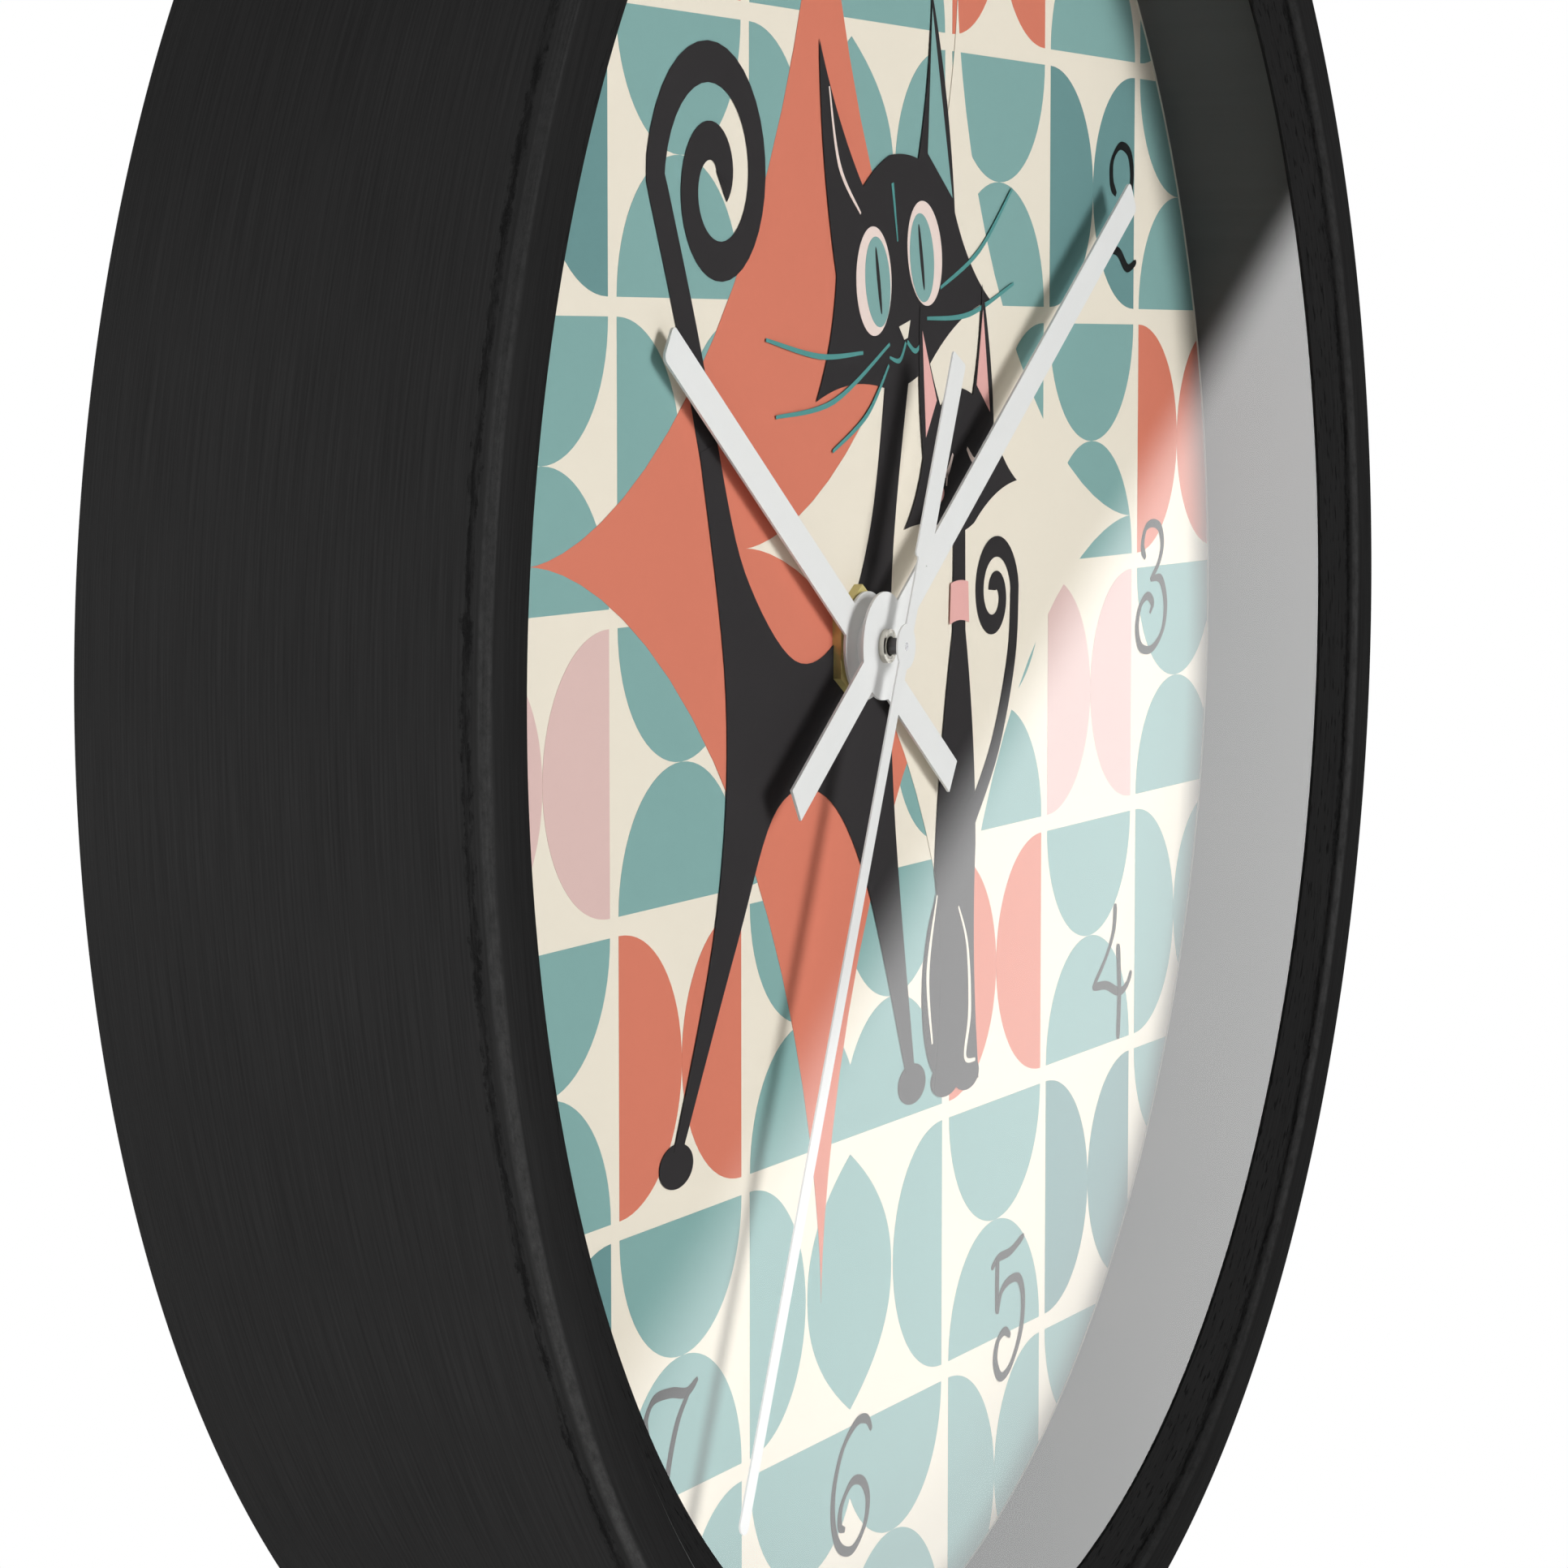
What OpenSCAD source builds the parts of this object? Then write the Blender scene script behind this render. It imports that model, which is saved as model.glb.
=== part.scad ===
// Round wall clock: deep black hoop frame, printed dial behind a flat lens,
// three hands and a battery quartz movement.
// +Z is up, the dial faces -Y, and the origin is the centre of the whole clock.
// Depths named *_d are measured from the front plane of the frame towards the wall.

/* [Frame] */
// Outer radius of the hoop
frame_r = 127; // [120:1:140]
// Thickness of the hoop's wall behind the front
hoop_w = 6; // [6:0.5:6.5]
// Radial width of the hoop's front, from the outside to the opening
lip_w = 13; // [12:0.5:13]
// Thickness of the lip at the edge of the opening
lip_edge = 0.4; // [0.3:0.1:0.6]
// Depth of the clock from front plane to wall
depth = 44; // [44:1:50]
// Radius of the rounded bead round the front
bead_r = 4.1; // [4:0.1:4.4]
// Depth of the lens seat behind the front plane
seat_d = 4.4; // [4.4:0.1:5]

/* [Dial] */
// Thickness of the lens
lens_t = 2; // [1.5:0.5:2]
// Depth of the printed face behind the front plane
face_d = 21.9; // [21.7:0.1:22]
// Thickness of the printed sheet
print_t = 0.25; // [0.2:0.05:0.3]
// Thickness of the dial board
board_t = 3; // [2.8:0.1:3]
// Number of clips that hold the dial board
clip_count = 6; // [4:2:8]

/* [Hands] */
// Clockwise angle of the hour hand from twelve
hour_angle = 303.7; // [0:0.1:360]
// Clockwise angle of the minute hand from twelve
minute_angle = 56.3; // [0:0.1:360]
// Clockwise angle of the second hand from twelve
second_angle = 205.4; // [0:0.1:360]
// Axis to tip of the hour hand
hour_tip = 61.6; // [50:0.2:80]
// Axis to tip of the minute hand
minute_tip = 95.3; // [80:0.1:105]
// Axis to tip of the second hand
second_tip = 102; // [80:0.1:110]
// Width of the hour and minute hands
hand_w = 4.2; // [3:0.1:6]

/* [Movement] */
// Width and height of the movement case
case_w = 56; // [56:1:58]
// Depth of the movement case
case_depth = 15.5; // [15.5:0.1:16]
// Module of the seconds gears
mod_s = 0.3; // [0.3:0.01:0.31]
// Module of the hand-setting gears
mod_h = 0.35; // [0.34:0.01:0.35]

/* [Hidden] */
$fn = 96;
eps = 0.01;

black = [0.06, 0.06, 0.06];
cream = [0.91, 0.88, 0.81];
white = [0.9, 0.9, 0.9];
brass = [0.72, 0.6, 0.3];
steel = [0.7, 0.7, 0.72];
nylon = [0.88, 0.87, 0.82];
copper = [0.7, 0.35, 0.16];
board_green = [0.1, 0.35, 0.2];

// Half the depth, which is how far the front plane stands from the origin
mid = depth / 2;

// Frame, lens and dial stack
lip_r = frame_r - lip_w;
rebate_r = frame_r - hoop_w;
disc_r = rebate_r - 0.2;
spacer_r = disc_r - 1.6;
bead_mid_r = frame_r - bead_r;
bevel_angle = 30;
lens_back_d = seat_d + lens_t;
board_d = face_d + print_t;
board_back_d = board_d + board_t;
bush_r = 4;
bush_hole_r = bush_r + 0.2;

// Dial clips and their screws
clip_angle = 6;
clip_t = 1.1;
clip_foot = 8;
clip_leg = 11;
clip_screw_r = 1.2;
clip_screw_d = board_back_d + 6;
clip_screw_depth = 4.3;

// Hanger plate and washer between the board and the movement
plate_t = 0.8;
hanger_w = 18;
hanger_bend_z = 40;
hanger_top_z = 62;
hanger_hole_z = 52;
hanger_hole_r = 4;
hanger_back_d = 41;
washer_d = board_back_d + plate_t;
washer_t = 0.8;
case_d = washer_d + washer_t;

// Movement case
wall = 1.2;
floor_t = 1;
inner_w = case_w / 2 - wall;
floor_d = case_d + floor_t;
rim_d = case_d + case_depth - floor_t;
divider_z = -10.2;
divider_t = 1;

// Layers of the movement, as depths
hour_wheel_d = case_d + 2.2;
motion_d = case_d + 3.4;
centre_d = case_d + 4.5;
plate_d = case_d + 5.6;
third_d = case_d + 6.9;
stator_d = case_d + 7.7;
second_wheel_d = case_d + 8.3;
intermediate_d = case_d + 9.7;
bridge_d = case_d + 10.7;
bridge_t = 1;
wheel_t = 0.6;
motion_t = 0.8;

// Teeth
teeth_second_wheel = 40;
teeth_second_pinion = 8;
teeth_third_wheel = 60;
teeth_third_pinion = 8;
teeth_centre = 64;
teeth_rotor = 8;
teeth_intermediate = 48;
teeth_intermediate_pinion = 8;
teeth_cannon = 12;
teeth_motion = 36;
teeth_motion_pinion = 10;
teeth_hour = 40;
teeth_setting = 12;

// Centre distances, and the modules that follow from them
third_cd = mod_s * (teeth_second_pinion + teeth_third_wheel) / 2;
mod_centre = 2 * third_cd / (teeth_third_pinion + teeth_centre);
inter_cd = mod_s * (teeth_intermediate_pinion + teeth_second_wheel) / 2;
mod_rotor = 0.25;
rotor_cd = mod_rotor * (teeth_rotor + teeth_intermediate) / 2;
motion_cd = mod_h * (teeth_cannon + teeth_motion) / 2;
mod_hour = 2 * motion_cd / (teeth_motion_pinion + teeth_hour);
setting_cd = mod_h * (teeth_setting + teeth_motion) / 2;

// Directions between gear axes, anticlockwise from +X as seen from the front
third_dir = 150;
inter_dir = 40;
rotor_dir = 75;
motion_dir = 200;
setting_dir = 180;

function polar(r, a) = [r * cos(a), r * sin(a)];
axis_hands = [0, 0];
axis_third = polar(third_cd, third_dir);
axis_inter = polar(inter_cd, inter_dir);
axis_rotor = axis_inter + polar(rotor_cd, rotor_dir);
axis_motion = polar(motion_cd, motion_dir);
axis_setting = axis_motion + polar(setting_cd, setting_dir);

// Angle of one tooth of the second gear that puts its gap over the first gear's tooth
function mesh_phase(phase, teeth, dir, other_teeth) =
    dir + 180 + (180 - (phase - dir) * teeth) / other_teeth;
phase_third = mesh_phase(0, teeth_second_pinion, third_dir, teeth_third_wheel);
phase_centre = mesh_phase(phase_third, teeth_third_pinion, third_dir + 180, teeth_centre);
phase_inter = mesh_phase(0, teeth_second_wheel, inter_dir, teeth_intermediate_pinion);
phase_rotor = mesh_phase(phase_inter, teeth_intermediate, rotor_dir, teeth_rotor);
phase_motion = mesh_phase(0, teeth_cannon, motion_dir, teeth_motion);
phase_hour = mesh_phase(phase_motion, teeth_motion_pinion, motion_dir + 180, teeth_hour);
phase_setting = mesh_phase(phase_motion, teeth_motion, setting_dir, teeth_setting);

// Shafts of the hands, from the inside out
arbor_r = 0.5;
pipe_r = 1.5;
hour_pipe_r = 2.4;
run_gap = 0.06;
counterbore_r = 1.15;
pivot_r = 0.4;
hour_hand_d = face_d - 1.75;
minute_hand_d = face_d - 3.9;
second_hand_d = face_d - 6.55;
hand_t = 0.3;
second_t = 0.2;
nut_t = 1.1;
nut_flats = 12;
pipe_front_d = minute_hand_d - 0.65;
hour_pipe_front_d = hour_hand_d - 0.05;

// Posts of the case that carry the two inner plates
post_points = [[22, -7], [-23, -7], [-6.5, 20]];
post_r = 2.4;
post_neck_r = 1.6;
screw_r = 0.8;

// Coil, stator and circuit
coil_z = 21;
coil_x = [2.4, 17.6];
core_x = [-3, 23];
core_t = 1;
core_w = 4;
core_d = stator_d + 0.5;
coil_screw_x = [-0.75, 20.75];
circuit_d = case_d + 9.3;
circuit_t = 0.8;
circuit_posts = [[-24, 24], [-12.5, 24], [-24, 10.5]];

// Battery, size AA
cell_r = 7.15;
cell_z = -19.5;
cell_d = floor_d + 0.2 + cell_r;
cell_front_x = inner_w - 0.5;
cell_len = 50.5;

// Puts a drawing of the front view at a depth and gives it a thickness
module slab(d, t) {
    translate([0, d + t - mid, 0])
        rotate([90, 0, 0])
            linear_extrude(t)
                children();
}

// Turns a profile of radius and depth about the hands' axis or a parallel one
module turned(at = [0, 0]) {
    translate([at[0], -mid, at[1]])
        rotate([-90, 0, 0])
            rotate_extrude()
                children();
}

// Round bar or tube along the depth
module rod(at, r, d0, d1, bore = 0) {
    translate([at[0], d0 - mid, at[1]])
        rotate([-90, 0, 0])
            difference() {
                cylinder(h = d1 - d0, r = r);
                if (bore > 0)
                    translate([0, 0, -eps])
                        cylinder(h = d1 - d0 + 2 * eps, r = bore);
            }
}

// Block between two corners, with its depths measured from the front plane
module block(x0, x1, d0, d1, z0, z1) {
    translate([x0, d0 - mid, z0])
        cube([x1 - x0, d1 - d0, z1 - z0]);
}

// Rectangle with round corners, centred
module rounded(w, h, r) {
    square([w - 2 * r, h], center = true);
    square([w, h - 2 * r], center = true);
    for (x = [-1, 1], y = [-1, 1])
        translate([x * (w / 2 - r), y * (h / 2 - r)])
            circle(r);
}

// Gear outline: straight-sided teeth with a narrowed tip, in two steps from root to tip
module gear(teeth, m, phase) {
    r = teeth * m / 2;
    tip = r + 0.75 * m;
    root = r - 1.15 * m;
    pitch = 360 / teeth;
    flanks = [[root, 0.30], [r, 0.215], [tip, 0.10]];
    points = [
        for (i = [0:teeth - 1], side = [-1, 1], k = [0:2])
            let (f = flanks[side < 0 ? k : 2 - k])
            polar(f[0], phase + pitch * (i + side * f[1]))
    ];
    polygon(points);
}

// Pan-head screw along +Z, its head's seat at the origin and its shank below
module screw(head_r, head_h, shank_r, shank_len) {
    difference() {
        union() {
            cylinder(h = head_h, r = head_r);
            translate([0, 0, -shank_len])
                cylinder(h = shank_len, r = shank_r);
        }
        for (a = [0, 90])
            rotate(a)
                translate([-head_r * 0.6, -0.2, head_h / 2])
                    cube([head_r * 1.2, 0.4, head_h]);
    }
}

// Screw driven from the wall side towards the dial
module rear_screw(at, d, head_r, head_h, shank_r, shank_len) {
    translate([at[0], d - mid, at[1]])
        rotate([-90, 0, 0])
            screw(head_r, head_h, shank_r, shank_len);
}

// Repeats children at each dial clip, with +X pointing outwards
module at_clips() {
    for (i = [0:clip_count - 1])
        rotate([0, i * 360 / clip_count + 180 / clip_count, 0])
            children();
}

module frame_ring() {
    color(black)
        difference() {
            turned()
                difference() {
                    union() {
                        translate([bead_mid_r - bead_r, bead_r])
                            square([2 * bead_r, depth - bead_r]);
                        translate([bead_mid_r, bead_r])
                            circle(bead_r);
                        polygon([
                            [lip_r, seat_d + eps],
                            [lip_r, seat_d - lip_edge],
                            [bead_mid_r - bead_r * cos(bevel_angle), bead_r - bead_r * sin(bevel_angle)],
                            [bead_mid_r, bead_r],
                            [bead_mid_r, seat_d + eps]
                        ]);
                    }
                    translate([lip_r - 1, seat_d])
                        square([rebate_r - lip_r + 1, depth]);
                }
            at_clips()
                translate([rebate_r - 1, clip_screw_d - mid, 0])
                    rotate([0, 90, 0])
                        cylinder(h = clip_screw_depth + 1.1, r = clip_screw_r + 0.05);
        }
}

module lens() {
    color([0.85, 0.9, 0.9, 0.3])
        rod([0, 0], disc_r, seat_d, lens_back_d);
}

module spacer_ring() {
    color(black)
        rod([0, 0], disc_r, lens_back_d, face_d, spacer_r);
}

module dial_print() {
    color(cream)
        rod([0, 0], disc_r, face_d, board_d, bush_hole_r);
}

module dial_board() {
    color([0.7, 0.58, 0.42])
        rod([0, 0], disc_r, board_d, board_back_d, bush_hole_r);
}

module dial_clips() {
    color(steel)
        at_clips()
            rotate([-90, 0, 0])
                rotate([0, 0, -clip_angle / 2])
                    difference() {
                        translate([0, 0, -mid])
                            rotate_extrude(angle = clip_angle, $fn = 180) {
                                translate([rebate_r - clip_t, board_back_d])
                                    square([clip_t, clip_leg]);
                                translate([rebate_r - clip_foot, board_back_d])
                                    square([clip_foot, clip_t]);
                            }
                        rotate([0, 0, clip_angle / 2])
                            translate([rebate_r - 3, 0, clip_screw_d - mid])
                                rotate([0, 90, 0])
                                    cylinder(h = 4, r = clip_screw_r + 0.15);
                    }
}

module clip_screws() {
    color(steel)
        at_clips()
            translate([rebate_r - clip_t - 0.05, clip_screw_d - mid, 0])
                rotate([0, -90, 0])
                    screw(2.4, 1.3, clip_screw_r, clip_screw_depth + clip_t);
}

module hanger_plate() {
    color(steel)
        difference() {
            union() {
                slab(board_back_d, plate_t)
                    translate([0, (hanger_bend_z - hanger_w / 2) / 2])
                        rounded(hanger_w, hanger_bend_z + hanger_w / 2, 1.5);
                block(-hanger_w / 2 + 1.5, hanger_w / 2 - 1.5, board_back_d, hanger_back_d,
                      hanger_bend_z - plate_t, hanger_bend_z);
                slab(hanger_back_d - plate_t, plate_t)
                    translate([0, (hanger_bend_z - plate_t + hanger_top_z) / 2])
                        rounded(hanger_w, hanger_top_z - hanger_bend_z + plate_t, 1.5);
            }
            rod([0, 0], bush_hole_r, board_back_d - 1, board_back_d + 2);
            rod([0, hanger_hole_z], hanger_hole_r, hanger_back_d - 3, hanger_back_d + 1);
        }
}

module rubber_washer() {
    color([0.1, 0.1, 0.1])
        rod([0, 0], 9.5, washer_d, case_d, bush_hole_r);
}

module threaded_bush() {
    color(brass)
        turned()
            difference() {
                union() {
                    translate([0, face_d - nut_t - 0.05])
                        square([bush_r, floor_d - face_d + nut_t + 0.1]);
                    translate([0, floor_d])
                        square([6, 0.8]);
                }
                square([hour_pipe_r + run_gap, depth]);
            }
}

module hex_nut() {
    color(brass)
        slab(face_d - nut_t, nut_t)
            difference() {
                rotate(30)
                    circle(r = nut_flats / 2 / cos(30), $fn = 6);
                circle(bush_r);
            }
}

// Straight hand with rounded tip corners and a square tail
module baton(w, tip, tail, corner) {
    translate([-w / 2, -tail])
        square([w, tail + tip - corner]);
    translate([-w / 2 + corner, 0])
        square([w - 2 * corner, tip]);
    for (side = [-1, 1])
        translate([side * (w / 2 - corner), tip - corner])
            circle(corner);
}

module hour_hand() {
    color(white)
        rotate([0, hour_angle, 0])
            slab(hour_hand_d, hand_t)
                difference() {
                    union() {
                        baton(hand_w, hour_tip, 30.5, 0.8);
                        circle(6.15);
                    }
                    circle(hour_pipe_r);
                }
}

module minute_hand() {
    color(white)
        rotate([0, minute_angle, 0]) {
            slab(minute_hand_d, hand_t)
                difference() {
                    union() {
                        baton(hand_w, minute_tip, 29, 0.8);
                        circle(6.15);
                    }
                    circle(pipe_r);
                }
            rod([0, 0], 3.3, minute_hand_d + hand_t - eps, hour_hand_d - 0.15, pipe_r);
        }
}

module minute_nut() {
    color(steel)
        rod([0, 0], 1.95, pipe_front_d, minute_hand_d, pipe_r);
}

module second_hand() {
    color(white)
        rotate([0, second_angle, 0])
            slab(second_hand_d, second_t)
                difference() {
                    union() {
                        baton(2.25, second_tip, 11, 1);
                        translate([0, -23.2])
                            rounded(4, 25.4, 0.4);
                        circle(2.58);
                    }
                    circle(arbor_r);
                }
}

module second_hand_tube() {
    color(brass)
        rod([0, 0], 0.95, second_hand_d + second_t, hour_hand_d - 0.6, arbor_r);
}

// Boss with a blind bearing hole, standing on the floor of the case
module bearing_boss(at, r, top_d) {
    rod(at, r, floor_d - eps, top_d);
}

module case_outline() {
    rounded(case_w, case_w, 3);
}

module case_front() {
    color(black)
        difference() {
            union() {
                difference() {
                    slab(case_d, rim_d - case_d)
                        case_outline();
                    block(-inner_w, inner_w, floor_d, depth, divider_z, inner_w);
                    block(-inner_w, inner_w, floor_d, depth, -inner_w, divider_z - divider_t);
                    // Finger gaps beside the cell
                    block(-9, 9, case_d + 5, depth, -case_w, -inner_w + eps);
                }
                for (p = post_points) {
                    bearing_boss(p, post_r, plate_d);
                    rod(p, post_neck_r, plate_d - eps, bridge_d);
                }
                for (x = coil_screw_x)
                    bearing_boss([x, coil_z], 2, stator_d);
                for (p = circuit_posts) {
                    bearing_boss(p, 1.6, circuit_d);
                    rod(p, 0.8, circuit_d - eps, circuit_d + circuit_t + 0.5);
                }
                bearing_boss(axis_third, 1.5, floor_d + 1.1);
                bearing_boss(axis_setting, 1.8, floor_d + 1.9);
                bearing_boss(axis_motion, 1.6, floor_d + 1);
                rod(axis_motion, 0.9, floor_d, centre_d - 0.15);
            }
            rod(axis_hands, bush_r, case_d - 1, floor_d + 1);
            rod(axis_third, pivot_r + run_gap, floor_d - 0.4, floor_d + 2);
            rod(axis_setting, 0.8 + run_gap, floor_d - 0.4, floor_d + 3);
            for (p = post_points)
                rod(p, screw_r + 0.05, bridge_d - 5, bridge_d + 1);
            for (x = coil_screw_x)
                rod([x, coil_z], 1.05, stator_d - 5, stator_d + 1);
        }
}

module case_back() {
    color(black)
        difference() {
            union() {
                slab(rim_d, floor_t)
                    intersection() {
                        case_outline();
                        translate([-case_w / 2, divider_z - divider_t])
                            square([case_w, case_w]);
                    }
                // Locating ribs inside the walls
                for (side = [-1, 1])
                    block(side * (inner_w - 1) - 0.6, side * (inner_w - 1) + 0.6,
                          rim_d - 1.5, rim_d + eps, 0, 6);
            }
            rod(axis_setting, 1.2 + run_gap, rim_d - 3, depth);
        }
}

// Outline shared by the two inner plates, with clearance for coil and circuit
module plate_outline() {
    translate([-25.5, -9.6])
        square([50, 17]);
    translate([-9, 0])
        square([21.5, 16]);
    translate([-9, 0])
        square([5, 22.5]);
}

module middle_plate() {
    color(nylon)
        slab(plate_d, 0.8)
            difference() {
                plate_outline();
                for (p = post_points)
                    translate(p)
                        circle(post_neck_r + 0.05);
                circle(arbor_r + run_gap);
                translate(axis_third)
                    circle(1.8);
                translate(axis_setting)
                    circle(1.6);
                translate(axis_inter)
                    circle(pivot_r + run_gap);
                translate(axis_rotor)
                    circle(pivot_r + run_gap);
            }
}

module gear_bridge() {
    color(nylon)
        slab(bridge_d, bridge_t)
            difference() {
                plate_outline();
                for (p = post_points)
                    translate(p)
                        circle(screw_r + 0.1);
                circle(arbor_r + run_gap);
                translate(axis_setting)
                    circle(1.6);
                for (p = [axis_third, axis_inter, axis_rotor])
                    translate(p)
                        circle(pivot_r + run_gap);
            }
}

module bridge_screws() {
    color(steel)
        for (p = post_points)
            rear_screw(p, bridge_d + bridge_t, 1.7, 1, screw_r, 4.5);
}

// Toothed disc on an axis parallel to the hands' axis
module wheel(at, teeth, m, phase, d, t) {
    slab(d, t)
        translate(at)
            gear(teeth, m, phase);
}

module hour_wheel() {
    color(nylon)
        difference() {
            union() {
                wheel(axis_hands, teeth_hour, mod_hour, phase_hour, hour_wheel_d, motion_t);
                rod(axis_hands, hour_pipe_r, hour_pipe_front_d, hour_wheel_d + eps);
            }
            rod(axis_hands, pipe_r + run_gap, hour_pipe_front_d - 1, depth);
        }
}

module minute_pipe() {
    color(nylon)
        difference() {
            union() {
                rod(axis_hands, pipe_r, pipe_front_d, plate_d - 0.2);
                wheel(axis_hands, teeth_cannon, mod_h, 0, motion_d, motion_t);
            }
            rod(axis_hands, arbor_r + run_gap, pipe_front_d - 1, depth);
            rod(axis_hands, counterbore_r, pipe_front_d - 1, hour_hand_d);
        }
}

module motion_wheel() {
    color(nylon)
        difference() {
            union() {
                wheel(axis_motion, teeth_motion, mod_h, phase_motion, motion_d, motion_t);
                wheel(axis_motion, teeth_motion_pinion, mod_hour, phase_motion, hour_wheel_d - 0.1,
                      motion_d - hour_wheel_d + 0.1 + eps);
            }
            rod(axis_motion, 0.9 + run_gap, floor_d, depth);
        }
}

module centre_wheel() {
    color(nylon)
        difference() {
            wheel(axis_hands, teeth_centre, mod_centre, phase_centre, centre_d, wheel_t);
            rod(axis_hands, pipe_r + run_gap, floor_d, depth);
        }
}

module third_wheel() {
    color(nylon) {
        rod(axis_third, 0.6, floor_d + 1.15, bridge_d - 0.1);
        rod(axis_third, pivot_r, floor_d - 0.3, bridge_d + bridge_t - 0.1);
        wheel(axis_third, teeth_third_pinion, mod_centre, phase_third, centre_d - 0.1, wheel_t + 0.4);
        wheel(axis_third, teeth_third_wheel, mod_s, phase_third, third_d, wheel_t);
    }
}

module second_wheel() {
    color(nylon)
        difference() {
            union() {
                wheel(axis_hands, teeth_second_wheel, mod_s, 0, second_wheel_d, wheel_t);
                wheel(axis_hands, teeth_second_pinion, mod_s, 0, third_d - 0.1,
                      second_wheel_d - third_d + 0.1 + eps);
            }
            rod(axis_hands, arbor_r, floor_d, depth);
        }
}

module second_arbor() {
    color(steel)
        rod(axis_hands, arbor_r, second_hand_d, bridge_d + bridge_t - 0.1);
}

module intermediate_wheel() {
    color(nylon) {
        rod(axis_inter, 0.6, plate_d + 0.9, bridge_d - 0.1);
        rod(axis_inter, pivot_r, plate_d + 0.1, bridge_d + bridge_t - 0.1);
        wheel(axis_inter, teeth_intermediate_pinion, mod_s, phase_inter, second_wheel_d - 0.1, wheel_t + 0.2);
        wheel(axis_inter, teeth_intermediate, mod_rotor, phase_inter, intermediate_d, 0.5);
    }
}

module rotor_magnet() {
    color([0.35, 0.35, 0.37])
        rod(axis_rotor, 3, stator_d - 0.7, stator_d + 1.5, 0.7);
}

module rotor_pinion() {
    color(nylon) {
        rod(axis_rotor, 0.7, plate_d + 0.9, bridge_d - 0.1);
        rod(axis_rotor, pivot_r, plate_d + 0.1, bridge_d + bridge_t - 0.1);
        wheel(axis_rotor, teeth_rotor, mod_rotor, phase_rotor, intermediate_d - 0.1, 0.7);
    }
}

module stator() {
    color(steel)
        slab(stator_d, 0.5)
            difference() {
                union() {
                    translate([core_x[0], 7])
                        square([core_x[1] - core_x[0], 9]);
                    for (x = [core_x[0], core_x[1] - 4.5])
                        translate([x, 7])
                            square([4.5, 17]);
                }
                translate(axis_rotor)
                    circle(3.4);
                for (x = coil_screw_x)
                    translate([x, coil_z])
                        circle(1.1);
            }
}

module coil_core() {
    color(steel)
        difference() {
            block(core_x[0], core_x[1], core_d, core_d + core_t, coil_z - core_w / 2, coil_z + core_w / 2);
            for (x = coil_screw_x)
                rod([x, coil_z], 1.1, core_d - 1, core_d + core_t + 1);
        }
}

// Tube along X around the coil core
module coil_tube(x0, x1, r) {
    translate([x0, core_d + core_t / 2 - mid, coil_z])
        rotate([0, 90, 0])
            cylinder(h = x1 - x0, r = r);
}

module coil_bobbin() {
    color(nylon)
        difference() {
            union() {
                coil_tube(coil_x[0], coil_x[1], 2.6);
                coil_tube(coil_x[0], coil_x[0] + 0.8, 4.2);
                coil_tube(coil_x[1] - 0.8, coil_x[1], 4.2);
            }
            block(core_x[0], core_x[1], core_d, core_d + core_t, coil_z - core_w / 2, coil_z + core_w / 2);
        }
}

module coil_winding() {
    color(copper)
        difference() {
            coil_tube(coil_x[0] + 0.8, coil_x[1] - 0.8, 3.8);
            coil_tube(coil_x[0], coil_x[1], 2.6);
        }
}

module coil_screws() {
    color(steel)
        for (x = coil_screw_x)
            rear_screw([x, coil_z], core_d + core_t, 1.9, 1, 1, 5);
}

module circuit_board() {
    color(board_green)
        slab(circuit_d, circuit_t)
            difference() {
                translate([-26, 8.5])
                    square([15.5, 17.5]);
                for (p = circuit_posts)
                    translate(p)
                        circle(0.85);
            }
}

module chip_cover() {
    color(black)
        intersection() {
            translate([-17.5, circuit_d + circuit_t - 3.6 - mid, 18])
                sphere(4.7);
            block(-24, -10, circuit_d + circuit_t, depth, 10, 26);
        }
}

module quartz_crystal() {
    color(steel)
        translate([-21.5, circuit_d + circuit_t + 1 - mid, 12.5])
            rotate([0, 90, 0])
                cylinder(h = 6, r = 1);
}

module contact_plus() {
    color(steel)
        block(cell_front_x, inner_w, floor_d + 2, rim_d - 1.5, cell_z - 5, cell_z + 5);
}

module contact_minus() {
    tip_x = cell_front_x - cell_len;
    color(steel)
        slab(cell_d - 3, 6)
            translate([0, cell_z])
                difference() {
                    polygon([[-inner_w, -5], [tip_x, 0], [-inner_w, 5]]);
                    polygon([[-inner_w + 0.4, -3.5], [tip_x - 0.4, 0], [-inner_w + 0.4, 3.5]]);
                }
}

// Bar or tube along the cell, measured back from its positive tip
module cell_bar(from, to, r) {
    translate([cell_front_x - to, cell_d - mid, cell_z])
        rotate([0, 90, 0])
            cylinder(h = to - from, r = r);
}

module battery_can() {
    color(steel) {
        cell_bar(0, 2, 2.7);
        cell_bar(1.1, cell_len, cell_r - 0.15);
    }
}

module battery_sleeve() {
    color([0.75, 0.35, 0.15])
        difference() {
            cell_bar(1.5, cell_len - 0.4, cell_r);
            cell_bar(0, cell_len, cell_r - 0.15);
        }
}

module setting_shaft() {
    color(nylon) {
        rod(axis_setting, 0.8, floor_d - 0.3, motion_d);
        rod(axis_setting, 1.2, floor_d + 2, depth - 0.4);
        wheel(axis_setting, teeth_setting, mod_h, phase_setting, motion_d - 0.1, motion_t + 0.2);
    }
}

module setting_knob() {
    color(black)
        slab(rim_d + floor_t + 0.25, 1.3)
            translate(axis_setting)
                difference() {
                    circle(5.5);
                    circle(1.2);
                    for (i = [0:17])
                        rotate(i * 20)
                            translate([5.7, 0])
                                circle(0.5, $fn = 24);
                }
}

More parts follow.
